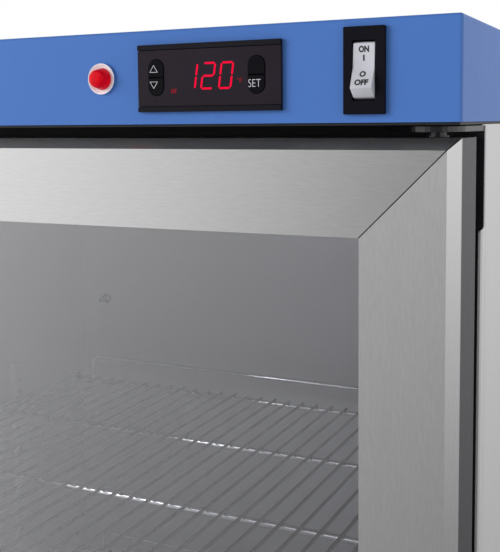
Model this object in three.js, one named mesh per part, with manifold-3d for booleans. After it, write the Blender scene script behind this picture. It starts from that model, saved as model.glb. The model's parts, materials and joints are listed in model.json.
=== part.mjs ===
// Compact blanket warming cabinet with a hinged glass door, in millimetres.
// +X is to the right of someone facing the door, the door faces -Y, and +Z is up.
// The model is laid out from the hood's front plane (y = 0) and the floor (z = 0), then centred on its own box.

import * as THREE from 'three';
import { mergeVertices } from 'three/addons/utils/BufferGeometryUtils.js';
import Module from 'manifold-3d';

const wasm = await Module();
wasm.setup();

// Carcass
const cabinetWidth = 603;
const cabinetDepth = 540;
const carcassHeight = 786.5;
const footHeight = 35;
const sheet = 1;
const seam = 0.3;
const overcut = 1;
const sideWall = 37.5;
const backWall = 38;
const ceilingWall = 49.5;
const floorWall = 45;
const frontReturn = 14;
const rearReturn = 12;
const cornerRadius = 3;
const frontFrameThickness = 6;
const baseSheet = 1.5;

// Control deck and hood
const deckThickness = 1.3;
const deckReveal = 1;
const hoodHeight = 47.2;
const hoodSheet = 1.2;
const hoodCorner = 1.6;
const hoodEdge = 1.2;
const hoodFlange = 12;

// Panel controller, with its place measured from the right side of the hood and from the hood's middle line
const controllerFromRight = 124.25;
const controllerDrop = 0.7;
const controllerWidth = 78.8;
const controllerHeight = 33.5;
const cutoutWidth = 71;
const cutoutHeight = 29;
const bezelThickness = 2.8;
const bezelLip = 2.6;
const bezelRecess = 1.6;
const faciaThickness = 1.1;
const caseLength = 55;
const keyWidth = 8.6;
const keyPairHeight = 17.9;
const keyPairRise = 0.4;
const keySplit = 0.7;
const keyProud = 0.5;
const keyTravel = 0.8;
const adjustKeysInset = 10.7;
const setKeysInset = 12.6;

// Rocker switch, with its section measured from the bezel's front and middle, and its angles in degrees
const switchFromRight = 44.1;
const switchWidth = 19.8;
const switchHeight = 39.6;
const switchThickness = 2.5;
const rockerWidth = 10.2;
const rockerRadius = 13.2;
const rockerPivotDepth = 5.5;
const rockerFaceDepth = 0.5;
const rockerBreakRise = 1.2;
const rockerCrest = 4.6;
const rockerCrestDrop = 8;
const rockerSkirt = 15;
const rockerThrow = 28;
const switchBodyWall = 1.6;
const switchBodyDepth = 28;

// Pilot lamp: a dished ring round a tapered lens
const pilotFromRight = 186.75;
const pilotRingDiameter = 16;
const pilotFootDiameter = 14.4;
const pilotRingThickness = 1.8;
const pilotRimHeight = 0.7;
const pilotDishDepth = 1.4;
const pilotBarrelDiameter = 12.4;
const pilotBarrelLength = 22;
const pilotNutDiameter = 17;
const pilotNutThickness = 4;
const lensDiameter = 11;
const lensTipDiameter = 8.6;
const lensShoulder = 0.8;
const lensLength = 5.6;
const lensCrown = 0.4;
const lensStemDiameter = 8.4;
const lensStemLength = 10;

// Cable gland on the back of the hood
const glandFromLeft = 72;
const glandDiameter = 22;
const glandThread = 16;
const glandBore = 8;
const glandReach = 16;
const glandShoulder = 7.2;
const glandInnerLength = 10;

// Door
const doorDepth = 34.8;
const gasketDepth = 16.4;
const doorSideInset = 1;
const doorTopGap = 7;
const doorBottomGap = 12;
const frameFace = 40.7;
const frameChamfer = 5.5;
const frameSheet = 1.2;
const mitreGap = 0.3;
const glassLip = 3;
const glassRebate = 8;
const paneThickness = 4;
const paneGap = 14;
const spacerWidth = 12;
const spacerMargin = 1;
const gasketWidth = 14;
const gasketBase = 5;
const gasketBulb = 10;

// Door handle
const handleDiameter = 14;
const handleLength = 420;
const handleEndBevel = 2.1;
const handleStandoff = 38;
const handlePostDiameter = 12;
const handlePostInset = 45;

// Hinges, with the axis measured from the cabinet's right side and from the hood's front
const hingeInset = 16.2;
const hingeSetback = 22;
const gasketHingeGap = 4;
const bracketPlate = 2.6;
const bracketLegWidth = 20;
const bracketLegLength = 51.6;
const bracketLegCorner = 3;
const bracketReach = 50;
const bracketNose = 13.5;
const pinDiameter = 6;
const pinLength = 20;
const pinEndGap = 2;
const bushWall = 1.4;
const bushFlange = 0.8;
const bushFlangeDiameter = 11;
const bushSpacer = 2.2;
const bushSpacerDiameter = 8.4;

// Pilasters, shelf rails and wire shelves
const pilasterInset = 124;
const pilasterWidth = 12;
const pilasterDepth = 5;
const pilasterWeb = 1.5;
const pilasterFloorGap = 181;
const slotPitch = 12.7;
const slotCount = 24;
const slotWidth = 8;
const slotHeight = 3.6;
const upperSlotIndex = 19;
const lowerSlotIndex = 2;
const lowerShelfSetback = 12;
const railSheet = 1.5;
const railFlange = 14;
const railHeight = 20;
const railTabDrop = 14;
const railOverhang = 40;
const shelfSideGap = 10;
const shelfBackGap = 26.4;
const shelfFrontGap = 11.9;
const rodCount = 4;
const rodDiameter = 5;
const wireDiameter = 2.8;
const wirePitch = 15.875;
const wireOverhang = 4;
const weldDepth = 0.4;
const backstopDiameter = 4;
const backstopRise = 24.4;
const backstopWiresIn = 1.5;

// Heater, fan and their slotted cover at the foot of the back wall
const coverWidth = 460;
const coverDepth = 90;
const coverMargin = 9;
const coverSlopeRise = 35;
const coverSlopeRun = 43;
const coverSlotWidth = 6;
const coverSlotPitch = 12;
const coverSlotLength = 120;
const coverSlotInset = 30;
const coverSlotRows = 6;
const fanSize = 92;
const fanDepth = 25;
const fanBore = 86;
const fanHub = 36;
const fanMotorDepth = 8;
const fanStrut = 5;
const fanOverlap = 1;
const fanRotorDepth = 14;
const fanTipGap = 1.5;
const bladeCount = 7;
const bladeChord = 16;
const bladeThickness = 1.6;
const bladePitch = 40;
const heaterDiameter = 8;
const heaterRise = 50;
const heaterFloorGap = 32;
const heaterBackGap = 24;
const heaterEndGap = 40;
const heaterPlate = 12;
const heaterPlateOverlap = 1;

// Temperature probe on the back wall
const probeInset = 37.5;
const probeDrop = 155;
const probeDiameter = 6;
const probeLength = 14;
const probeTipBevel = 1;
const probeFlangeDiameter = 11;
const probeFlange = 2;

// Levelling feet
const footInset = 55;
const footPadDiameter = 38;
const footPadThickness = 8;
const footPadBevel = 2;
const footCone = 5;
const footNeckDiameter = 14;
const footNutDiameter = 22;
const footNutThickness = 6;
const studDiameter = 9.6;
const studLength = 22;
const bossWall = 5.5;
const bossHeight = 26;

// Facets round a full turn
const roundSides = 16;
const plainSides = 12;
const rodSides = 8;
const wireSides = 6;

// Levels and planes worked out from the driving sizes
const half = cabinetWidth / 2;
const carcassBottom = footHeight;
const carcassTop = carcassBottom + carcassHeight;
const hoodBottom = carcassTop + deckThickness;
const hoodTop = hoodBottom + hoodHeight;
const controlLine = hoodBottom + hoodHeight / 2;
const faceY = doorDepth + gasketDepth;
const chamberHalf = half - sideWall;
const chamberFront = faceY + frontFrameThickness + seam;
const chamberBack = cabinetDepth - backWall;
const chamberFloor = carcassBottom + floorWall;
const chamberCeiling = carcassTop - ceilingWall;
const doorHalf = half - doorSideInset;
const doorTop = hoodBottom - doorTopGap;
const doorBottom = carcassBottom + doorBottomGap;
const frameWidth = frameChamfer + frameFace;
const glassInset = frameWidth - glassRebate + seam;
const glassFront = glassLip + seam;
const innerPaneFront = glassFront + paneThickness + paneGap;
const glassBack = innerPaneFront + paneThickness;
const hingeX = half - hingeInset;
const bushInner = pinDiameter / 2 + seam;
const bushOuter = bushInner + bushWall;
const handleFront = handleStandoff + handleDiameter / 2;

// Finishes, each with the colour, roughness and metalness of the real surface
const finishes = {
  stainless: { color: 0xb9b8b6, roughness: 0.35, metalness: 1 },
  satin: { color: 0xa6a7aa, roughness: 0.5, metalness: 1 },
  galvanized: { color: 0x9fa3a6, roughness: 0.6, metalness: 0.9 },
  chrome: { color: 0xd8dadc, roughness: 0.18, metalness: 1 },
  blue: { color: 0x4b77bb, roughness: 0.45, metalness: 0 },
  blackSteel: { color: 0x1b1b1e, roughness: 0.5, metalness: 0 },
  blackPlastic: { color: 0x161619, roughness: 0.45, metalness: 0 },
  charcoal: { color: 0x23212a, roughness: 0.35, metalness: 0 },
  whitePlastic: { color: 0xdadade, roughness: 0.35, metalness: 0 },
  redLens: { color: 0xc40e1a, roughness: 0.15, metalness: 0 },
  glass: { color: 0xcfd6d6, roughness: 0.03, metalness: 0, transparent: true, opacity: 0.3 },
  rubber: { color: 0x2a2a2c, roughness: 0.8, metalness: 0 },
  foam: { color: 0xe6dcae, roughness: 0.95, metalness: 0 },
};

// Solids and booleans

function solid(shape) {
  if (shape instanceof wasm.Manifold) {
    return shape;
  }
  const bare = shape.index ? shape.toNonIndexed() : shape.clone();
  bare.deleteAttribute('normal');
  bare.deleteAttribute('uv');
  const merged = mergeVertices(bare, 1e-4);
  const corners = merged.index.array;
  const triangles = [];
  for (let i = 0; i < corners.length; i += 3) {
    const [a, b, c] = corners.slice(i, i + 3);
    if (a !== b && b !== c && c !== a) {
      triangles.push(a, b, c);
    }
  }
  const vertProperties = new Float32Array(merged.attributes.position.array);
  const triVerts = new Uint32Array(triangles);
  return new wasm.Manifold(new wasm.Mesh({ numProp: 3, vertProperties, triVerts }));
}

function join(...shapes) {
  return shapes.map(solid).reduce((whole, next) => whole.add(next));
}

function cut(shape, ...tools) {
  return tools.map(solid).reduce((whole, tool) => whole.subtract(tool), solid(shape));
}

function trim(shape, limit) {
  return solid(shape).intersect(solid(limit));
}

function toGeometry(shape) {
  if (!(shape instanceof wasm.Manifold)) {
    return shape;
  }
  const mesh = shape.getMesh();
  const geometry = new THREE.BufferGeometry();
  geometry.setAttribute('position', new THREE.BufferAttribute(mesh.vertProperties, 3));
  geometry.setIndex(new THREE.BufferAttribute(mesh.triVerts, 1));
  geometry.computeVertexNormals();
  return geometry;
}

function piece(name, shape, finish) {
  const mesh = new THREE.Mesh(toGeometry(shape), new THREE.MeshStandardMaterial(finishes[finish]));
  mesh.name = name;
  return mesh;
}

function groupOf(...members) {
  const group = new THREE.Group();
  group.add(...members.flat());
  return group;
}

// Outlines and their extrusions

function rectangle(u0, u1, v0, v1) {
  return polygon([[u0, v0], [u1, v0], [u1, v1], [u0, v1]]);
}

function polygon(points) {
  return new THREE.Shape(points.map(([u, v]) => new THREE.Vector2(u, v)));
}

function roundedRectangle(u0, u1, v0, v1, radius) {
  const outline = new THREE.Shape();
  outline.absarc(u1 - radius, v1 - radius, radius, 0, Math.PI / 2, false);
  outline.absarc(u0 + radius, v1 - radius, radius, Math.PI / 2, Math.PI, false);
  outline.absarc(u0 + radius, v0 + radius, radius, Math.PI, Math.PI * 1.5, false);
  outline.absarc(u1 - radius, v0 + radius, radius, Math.PI * 1.5, Math.PI * 2, false);
  return outline;
}

function extrude(outline, depth, curveSegments = 4) {
  return new THREE.ExtrudeGeometry(outline, { depth, bevelEnabled: false, curveSegments });
}

function alongX(outline, x0, x1, curveSegments) {
  const basis = new THREE.Matrix4().makeBasis(
    new THREE.Vector3(0, 1, 0), new THREE.Vector3(0, 0, 1), new THREE.Vector3(1, 0, 0));
  return extrude(outline, x1 - x0, curveSegments).applyMatrix4(basis).translate(x0, 0, 0);
}

function alongY(outline, y0, y1, curveSegments) {
  return extrude(outline, y1 - y0, curveSegments).rotateX(Math.PI / 2).translate(0, y1, 0);
}

function alongZ(outline, z0, z1, curveSegments) {
  return extrude(outline, z1 - z0, curveSegments).translate(0, 0, z0);
}

function box([x0, x1], [y0, y1], [z0, z1]) {
  const geometry = new THREE.BoxGeometry(x1 - x0, y1 - y0, z1 - z0);
  return geometry.translate((x0 + x1) / 2, (y0 + y1) / 2, (z0 + z1) / 2);
}

function turned(profile, sides) {
  const points = profile.map(([radius, height]) => new THREE.Vector2(radius, height));
  return new THREE.LatheGeometry(points, sides).rotateX(Math.PI / 2);
}

function rod(radius, length, sides) {
  return turned([[0, 0], [radius, 0], [radius, length], [0, length]], sides);
}

function rodAlongX(radius, x0, x1, y, z, sides) {
  return rod(radius, x1 - x0, sides).rotateY(Math.PI / 2).translate(x0, y, z);
}

function rodAlongY(radius, y0, y1, x, z, sides) {
  return rod(radius, y1 - y0, sides).rotateX(-Math.PI / 2).translate(x, y0, z);
}

function rodAlongZ(radius, z0, z1, x, y, sides) {
  return rod(radius, z1 - z0, sides).translate(x, y, z0);
}

// A flat ring in the door's plane, by its outer edges, its width and its depth span
function ring(outerHalf, bottom, top, width, y0, y1) {
  const outline = rectangle(-outerHalf, outerHalf, bottom, top);
  outline.holes.push(rectangle(-outerHalf + width, outerHalf - width, bottom + width, top - width));
  return alongY(outline, y0, y1);
}

// Carcass: folded side panels, back panel, base pan, foam and the black frame round the opening

function sidePanel(side) {
  const back = cabinetDepth - sheet;
  const inner = cornerRadius - sheet;
  const outline = new THREE.Path();
  outline.moveTo(half - frontReturn, faceY);
  outline.absarc(half - cornerRadius, faceY + cornerRadius, cornerRadius, -Math.PI / 2, 0, false);
  outline.lineTo(half, back);
  outline.lineTo(half - rearReturn, back);
  outline.lineTo(half - rearReturn, back - sheet);
  outline.lineTo(half - sheet, back - sheet);
  outline.absarc(half - cornerRadius, faceY + cornerRadius, inner, 0, -Math.PI / 2, true);
  outline.lineTo(half - frontReturn, faceY + sheet);
  const points = outline.getPoints(2).map(({ x, y }) => [side * x, y]);
  return alongZ(polygon(points), carcassBottom, carcassTop);
}

const footPlaces = {
  front_left: [-half + footInset, faceY + footInset],
  front_right: [half - footInset, faceY + footInset],
  rear_left: [-half + footInset, cabinetDepth - footInset],
  rear_right: [half - footInset, cabinetDepth - footInset],
};

function basePan() {
  const inner = half - sheet - seam;
  const plate = box([-inner, inner], [chamberFront, cabinetDepth - 2 * sheet - seam],
    [carcassBottom, carcassBottom + baseSheet]);
  const studHole = studDiameter / 2 + seam;
  const places = Object.values(footPlaces);
  const top = carcassBottom + baseSheet + bossHeight;
  const bosses = places.map(([x, y]) => rodAlongZ(studHole + bossWall, carcassBottom, top, x, y, plainSides));
  const holes = places.map(
    ([x, y]) => rodAlongZ(studHole, carcassBottom - overcut, top + overcut, x, y, plainSides));
  return cut(join(plate, ...bosses), ...holes);
}

function foam() {
  const inner = half - sheet - seam;
  const block = box([-inner, inner], [chamberFront, cabinetDepth - 2 * sheet - seam],
    [carcassBottom + baseSheet + seam, carcassTop - seam]);
  const liner = chamberHalf + sheet + seam;
  const cavity = box([-liner, liner], [chamberFront - overcut, chamberBack + sheet + seam],
    [chamberFloor - sheet - seam, chamberCeiling + sheet + seam]);
  const pocketRadius = studDiameter / 2 + bossWall + 3 * seam;
  const pocketTop = carcassBottom + baseSheet + bossHeight + seam;
  const pockets = Object.values(footPlaces).map(
    ([x, y]) => rodAlongZ(pocketRadius, carcassBottom, pocketTop, x, y, plainSides));
  return cut(block, cavity, ...pockets);
}

function frontFrame() {
  const outer = half - frontReturn - seam;
  const outline = rectangle(-outer, outer, carcassBottom, carcassTop);
  outline.holes.push(rectangle(-chamberHalf, chamberHalf, chamberFloor, chamberCeiling));
  return alongY(outline, faceY, faceY + frontFrameThickness);
}

function carcass() {
  const back = box([-half, half], [cabinetDepth - sheet, cabinetDepth], [carcassBottom, carcassTop]);
  return groupOf(
    piece('side_panel_left', sidePanel(-1), 'stainless'),
    piece('side_panel_right', sidePanel(1), 'stainless'),
    piece('back_panel', back, 'galvanized'),
    piece('base_pan', basePan(), 'galvanized'),
    piece('foam_insulation', foam(), 'foam'),
    piece('front_frame', frontFrame(), 'blackPlastic'));
}

// Chamber liner, five sheets that meet edge to face

function liner() {
  const outer = chamberHalf + sheet;
  const depth = [chamberFront, chamberBack];
  const height = [chamberFloor, chamberCeiling];
  return groupOf(
    piece('liner_left', box([-outer, -chamberHalf], depth, height), 'satin'),
    piece('liner_right', box([chamberHalf, outer], depth, height), 'satin'),
    piece('liner_back', box([-outer, outer], [chamberBack, chamberBack + sheet],
      [chamberFloor - sheet, chamberCeiling + sheet]), 'satin'),
    piece('liner_ceiling', box([-outer, outer], depth, [chamberCeiling, chamberCeiling + sheet]), 'satin'),
    piece('liner_floor', box([-outer, outer], depth, [chamberFloor - sheet, chamberFloor]), 'satin'));
}

// Control deck and hood

const controllerX = half - controllerFromRight;
const controllerZ = controlLine - controllerDrop;
const switchX = half - switchFromRight;
const pilotX = half - pilotFromRight;
const glandX = -half + glandFromLeft;
const switchBodyHalfWidth = rockerWidth / 2 + seam + switchBodyWall;
const switchBodyHalfHeight = rockerRadius + seam + switchBodyWall;

function hood() {
  const plan = roundedRectangle(-half, half, 0, cabinetDepth, hoodCorner);
  const outer = new THREE.ExtrudeGeometry(plan, {
    depth: hoodHeight - hoodEdge,
    bevelThickness: hoodEdge,
    bevelSize: hoodEdge,
    bevelOffset: -hoodEdge,
    bevelSegments: 2,
    curveSegments: 3,
  }).translate(0, 0, hoodBottom);
  const below = box([-half - overcut, half + overcut], [-overcut, cabinetDepth + overcut],
    [hoodBottom - hoodEdge - overcut, hoodBottom]);
  const inner = half - hoodSheet;
  const cavity = box([-inner, inner], [hoodSheet, cabinetDepth - hoodSheet],
    [hoodBottom + hoodSheet, hoodTop - hoodSheet]);
  const mouth = inner - hoodFlange;
  const opening = box([-mouth, mouth], [hoodSheet + hoodFlange, cabinetDepth - hoodSheet - hoodFlange],
    [hoodBottom - overcut, hoodBottom + 2 * hoodSheet]);
  const through = [-overcut, 2 * hoodSheet];
  const controllerHole = box([controllerX - cutoutWidth / 2, controllerX + cutoutWidth / 2], through,
    [controllerZ - cutoutHeight / 2, controllerZ + cutoutHeight / 2]);
  const switchHoleWidth = switchBodyHalfWidth + seam;
  const switchHoleHeight = switchBodyHalfHeight + seam;
  const switchHole = box([switchX - switchHoleWidth, switchX + switchHoleWidth], through,
    [controlLine - switchHoleHeight, controlLine + switchHoleHeight]);
  const pilotHole = rodAlongY(pilotBarrelDiameter / 2 + seam, ...through, pilotX, controlLine, plainSides);
  const glandHole = rodAlongY(glandThread / 2 + seam, cabinetDepth - 2 * hoodSheet, cabinetDepth + overcut,
    glandX, controlLine, roundSides);
  return cut(outer, below, cavity, opening, controllerHole, switchHole, pilotHole, glandHole);
}

function cableGland() {
  const inside = glandInnerLength + hoodSheet;
  const profile = [
    [glandBore / 2, -inside], [glandDiameter / 2, -inside], [glandDiameter / 2, -hoodSheet - seam],
    [glandThread / 2, -hoodSheet - seam], [glandThread / 2, seam], [glandDiameter / 2, seam],
    [glandDiameter / 2, glandShoulder], [glandThread / 2, glandReach], [glandBore / 2, glandReach],
    [glandBore / 2, -inside],
  ];
  return turned(profile, roundSides).rotateX(-Math.PI / 2).translate(glandX, cabinetDepth, controlLine);
}

function controlHousing() {
  const reach = half - deckReveal;
  const deck = box([-reach, reach], [deckReveal, cabinetDepth - deckReveal], [carcassTop, hoodBottom]);
  return groupOf(
    piece('control_deck', deck, 'blackSteel'),
    piece('control_hood', hood(), 'blue'),
    piece('cable_gland', cableGland(), 'blackPlastic'));
}

// Panel controller, laid out round its own centre and then moved onto the hood

const channelFloor = -bezelThickness + bezelRecess;
const channelHalf = controllerHeight / 2 - bezelLip;
const keyPairs = [
  { x: -controllerWidth / 2 + adjustKeysInset, names: ['key_up', 'key_down'] },
  { x: controllerWidth / 2 - setKeysInset, names: ['key_blank', 'key_set'] },
];

function keyPairOutline(x, grow) {
  const wide = keyWidth / 2 + grow;
  const tall = keyPairHeight / 2 + grow;
  return roundedRectangle(x - wide, x + wide, keyPairRise - tall, keyPairRise + tall, wide);
}

function keyShape(x, upward) {
  const front = -bezelThickness + bezelRecess - faciaThickness - keyProud;
  const pair = alongY(keyPairOutline(x, 0), front, -keyTravel - seam, 5);
  const inner = keySplit / 2;
  const reach = keyPairHeight;
  const band = upward ? [keyPairRise + inner, reach] : [-reach, keyPairRise - inner];
  return trim(pair, box([x - keyWidth, x + keyWidth], [-2 * bezelThickness, bezelThickness], band));
}

function controller() {
  const wide = controllerWidth / 2;
  const tall = controllerHeight / 2;
  const profile = polygon([
    [0, -tall], [0, tall], [-bezelThickness, tall], [-bezelThickness, channelHalf],
    [channelFloor, channelHalf], [channelFloor, -channelHalf], [-bezelThickness, -channelHalf],
    [-bezelThickness, -tall],
  ]);
  const wells = keyPairs.map(({ x }) => alongY(keyPairOutline(x, seam), -2 * bezelThickness, overcut, 5));
  const bezel = cut(alongX(profile, -wide, wide), ...wells);
  const faciaHalf = channelHalf - seam;
  const faciaPlate = box([-wide, wide], [channelFloor - faciaThickness, channelFloor], [-faciaHalf, faciaHalf]);
  const facia = cut(faciaPlate,
    ...wells);
  const caseHalfWidth = cutoutWidth / 2 - seam;
  const caseHalfHeight = cutoutHeight / 2 - seam;
  const body = box([-caseHalfWidth, caseHalfWidth], [0, caseLength], [-caseHalfHeight, caseHalfHeight]);
  const keys = keyPairs.map(({ x, names }) => [
    piece(names[0], keyShape(x, true), 'blackPlastic'),
    piece(names[1], keyShape(x, false), 'blackPlastic'),
  ]);
  const group = groupOf(
    piece('controller_case', body, 'blackPlastic'),
    piece('controller_bezel', bezel, 'charcoal'),
    piece('controller_facia', facia, 'charcoal'),
    keys.flat());
  group.position.set(controllerX, 0, controllerZ);
  return group;
}

// Rocker switch, shown with its upper half pressed in

function rockerPoint(degrees) {
  const angle = THREE.MathUtils.degToRad(degrees);
  return [rockerPivotDepth - rockerRadius * Math.sin(angle), rockerRadius * Math.cos(angle)];
}

function rockerSwitch() {
  const front = -switchThickness;
  const pivotY = front + rockerPivotDepth;
  const faceAngle = THREE.MathUtils.radToDeg(Math.asin((rockerPivotDepth - rockerFaceDepth) / rockerRadius));
  const outline = polygon([
    rockerPoint(-rockerSkirt), rockerPoint(0), rockerPoint(faceAngle),
    [rockerFaceDepth, rockerBreakRise], [-rockerCrest, -rockerCrestDrop],
    rockerPoint(180 - faceAngle), rockerPoint(180), rockerPoint(180 + rockerSkirt),
  ]);
  const rocker = alongX(outline, -rockerWidth / 2, rockerWidth / 2).translate(0, front, 0);
  const wellHalfWidth = rockerWidth / 2 + seam;
  const wellHalfHeight = rockerRadius + seam;
  const swing = rockerRadius * Math.sin(THREE.MathUtils.degToRad(rockerSkirt + rockerThrow));
  const well = box([-wellHalfWidth, wellHalfWidth], [front - overcut, pivotY + swing + seam],
    [-wellHalfHeight, wellHalfHeight]);
  const plate = box([-switchWidth / 2, switchWidth / 2], [front, 0], [-switchHeight / 2, switchHeight / 2]);
  const body = box([-switchBodyHalfWidth, switchBodyHalfWidth], [front, switchBodyDepth],
    [-switchBodyHalfHeight, switchBodyHalfHeight]);
  const group = groupOf(
    piece('switch_bezel', cut(join(plate, body), well), 'blackPlastic'),
    piece('switch_rocker', rocker, 'whitePlastic'));
  group.position.set(switchX, 0, controlLine);
  return group;
}

// Pilot lamp: a dished ring on a barrel held by its nut behind the panel, and a tapered lens

function pilotLamp() {
  const ringRadius = pilotRingDiameter / 2;
  const barrel = pilotBarrelDiameter / 2;
  const nut = pilotNutDiameter / 2;
  const bore = lensStemDiameter / 2 + seam;
  const nutFront = -hoodSheet - seam;
  const dish = pilotRingThickness - pilotDishDepth;
  const lensRadius = lensDiameter / 2;
  const tip = lensTipDiameter / 2;
  const bezel = turned([
    [0, -pilotBarrelLength], [barrel, -pilotBarrelLength], [barrel, nutFront - pilotNutThickness],
    [nut, nutFront - pilotNutThickness], [nut, nutFront], [barrel, nutFront], [barrel, 0],
    [pilotFootDiameter / 2, 0], [ringRadius, pilotRingThickness - pilotRimHeight],
    [ringRadius, pilotRingThickness],
    [lensRadius + seam, dish], [bore, dish], [bore, -lensStemLength - seam], [0, -lensStemLength - seam],
  ], plainSides);
  const seat = dish + seam;
  const front = seat + lensLength;
  const lens = turned([
    [0, -lensStemLength], [lensStemDiameter / 2, -lensStemLength], [lensStemDiameter / 2, seat],
    [lensRadius, seat], [tip, front - lensShoulder], [tip - lensShoulder, front], [0, front + lensCrown],
  ], plainSides);
  const group = groupOf(
    piece('pilot_bezel', bezel.rotateX(Math.PI / 2), 'whitePlastic'),
    piece('pilot_lens', lens.rotateX(Math.PI / 2), 'redLens'));
  group.position.set(pilotX, 0, controlLine);
  return group;
}

// Door: four mitred frame members, an inner frame that holds the glass, and a gasket

const doorWidth = 2 * doorHalf;
const doorHeight = doorTop - doorBottom;
const doorSides = {
  door_rail_top: { start: [-doorHalf, 0, doorTop], inward: [0, 0, -1], run: [1, 0, 0], length: doorWidth },
  door_rail_bottom: { start: [doorHalf, 0, doorBottom], inward: [0, 0, 1], run: [-1, 0, 0], length: doorWidth },
  door_stile_left: { start: [-doorHalf, 0, doorBottom], inward: [1, 0, 0], run: [0, 0, 1], length: doorHeight },
  door_stile_right: { start: [doorHalf, 0, doorTop], inward: [-1, 0, 0], run: [0, 0, -1], length: doorHeight },
};

// The folded section of a member: u runs inward from the door's edge, v runs back from its face
function frameSection() {
  const fold = frameSheet * Math.tan(Math.PI / 8);
  return polygon([
    [0, doorDepth], [0, frameChamfer], [frameChamfer, 0], [frameWidth, 0], [frameWidth, glassLip],
    [frameWidth - frameSheet, glassLip], [frameWidth - frameSheet, frameSheet],
    [frameChamfer + fold, frameSheet],
    [frameSheet, frameChamfer + fold], [frameSheet, doorDepth],
  ]);
}

// A straight length of the section with both ends cut at 45 degrees
function mitredMember({ start, inward, run, length }) {
  const member = extrude(frameSection(), length);
  const points = member.attributes.position;
  const gap = mitreGap / Math.SQRT2;
  for (let i = 0; i < points.count; i += 1) {
    const shift = points.getX(i) + gap;
    points.setZ(i, points.getZ(i) < length / 2 ? shift : length - shift);
  }
  const basis = new THREE.Matrix4().makeBasis(
    new THREE.Vector3(...inward), new THREE.Vector3(0, 1, 0), new THREE.Vector3(...run));
  return member.applyMatrix4(basis).translate(...start);
}

function hingeHole(radius, z0, z1) {
  return rodAlongZ(radius, z0, z1, hingeX, hingeSetback, plainSides);
}

function innerFrame() {
  const skin = frameSheet + seam;
  const outerHalf = doorHalf - skin;
  const bottom = doorBottom + skin;
  const top = doorTop - skin;
  const channelWidth = frameWidth - glassRebate - skin;
  const channel = ring(outerHalf, bottom, top, channelWidth, frameChamfer + frameSheet, doorDepth);
  const bead = ring(outerHalf, bottom, top, frameWidth - skin, glassBack + seam, doorDepth);
  const hole = bushOuter + seam;
  const depth = pinLength + pinEndGap;
  return cut(join(channel, bead), hingeHole(hole, doorTop - depth, doorTop + overcut),
    hingeHole(hole, doorBottom - overcut, doorBottom + depth));
}

function pane(y0) {
  const wide = doorHalf - glassInset;
  return box([-wide, wide], [y0, y0 + paneThickness], [doorBottom + glassInset, doorTop - glassInset]);
}

const gasketHalf = hingeX - gasketHingeGap;
const gasketInset = doorHalf - gasketHalf;

function gasket() {
  const bottom = doorBottom + gasketInset;
  const top = doorTop - gasketInset;
  const base = ring(gasketHalf, bottom, top, gasketWidth, doorDepth, doorDepth + gasketBase);
  const shoulder = (gasketWidth - gasketBulb) / 2;
  const bulb = ring(gasketHalf - shoulder, bottom + shoulder, top - shoulder, gasketBulb,
    doorDepth + gasketBase / 2, faceY - seam);
  return join(base, bulb);
}

function handle() {
  const x = -doorHalf + frameChamfer + frameFace / 2;
  const middle = (doorTop + doorBottom) / 2;
  const radius = handleDiameter / 2;
  const bar = turned([
    [0, 0], [radius - handleEndBevel, 0], [radius, handleEndBevel], [radius, handleLength - handleEndBevel],
    [radius - handleEndBevel, handleLength], [0, handleLength],
  ], plainSides).translate(x, -handleStandoff, middle - handleLength / 2);
  const reach = handleLength / 2 - handlePostInset;
  const posts = [-reach, reach].map(
    (dz) => rodAlongY(handlePostDiameter / 2, -handleStandoff, 0, x, middle + dz, plainSides));
  return join(bar, ...posts);
}

// A flanged bush in the door's edge, with a narrower collar that carries the bracket's arm
function hingeBush(edge, outward) {
  const bushLength = pinLength - bracketPlate;
  const flange = bushFlangeDiameter / 2;
  const collar = bushSpacerDiameter / 2;
  const profile = [
    [bushInner, -bushLength], [bushOuter, -bushLength], [bushOuter, 0], [flange, 0], [flange, bushFlange],
    [collar, bushFlange], [collar, bushSpacer], [bushInner, bushSpacer], [bushInner, -bushLength],
  ];
  const bush = turned(profile, plainSides);
  return (outward > 0 ? bush : bush.rotateX(Math.PI)).translate(hingeX, hingeSetback, edge);
}

function door() {
  const members = Object.entries(doorSides).map(([name, side]) => {
    const across = side.inward[2] !== 0;
    const edge = side.start[2];
    const hole = hingeHole(bushOuter + seam, edge - frameChamfer, edge + frameChamfer);
    const member = mitredMember(side);
    return piece(name, across ? cut(member, hole) : member, 'stainless');
  });
  const spacerInset = glassInset + spacerMargin;
  const spacer = ring(doorHalf - spacerInset, doorBottom + spacerInset, doorTop - spacerInset, spacerWidth,
    glassFront + paneThickness, innerPaneFront);
  return groupOf(
    members,
    piece('door_inner_frame', innerFrame(), 'blackPlastic'),
    piece('glass_outer', pane(glassFront), 'glass'),
    piece('glass_inner', pane(innerPaneFront), 'glass'),
    piece('glass_spacer', spacer, 'galvanized'),
    piece('door_gasket', gasket(), 'rubber'),
    piece('door_handle', handle(), 'stainless'),
    piece('hinge_bush_top', hingeBush(doorTop, 1), 'galvanized'),
    piece('hinge_bush_bottom', hingeBush(doorBottom, -1), 'galvanized'));
}

// Hinge brackets: a plate over or under the door that carries the pin, bent into a leg on the carcass face

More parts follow.
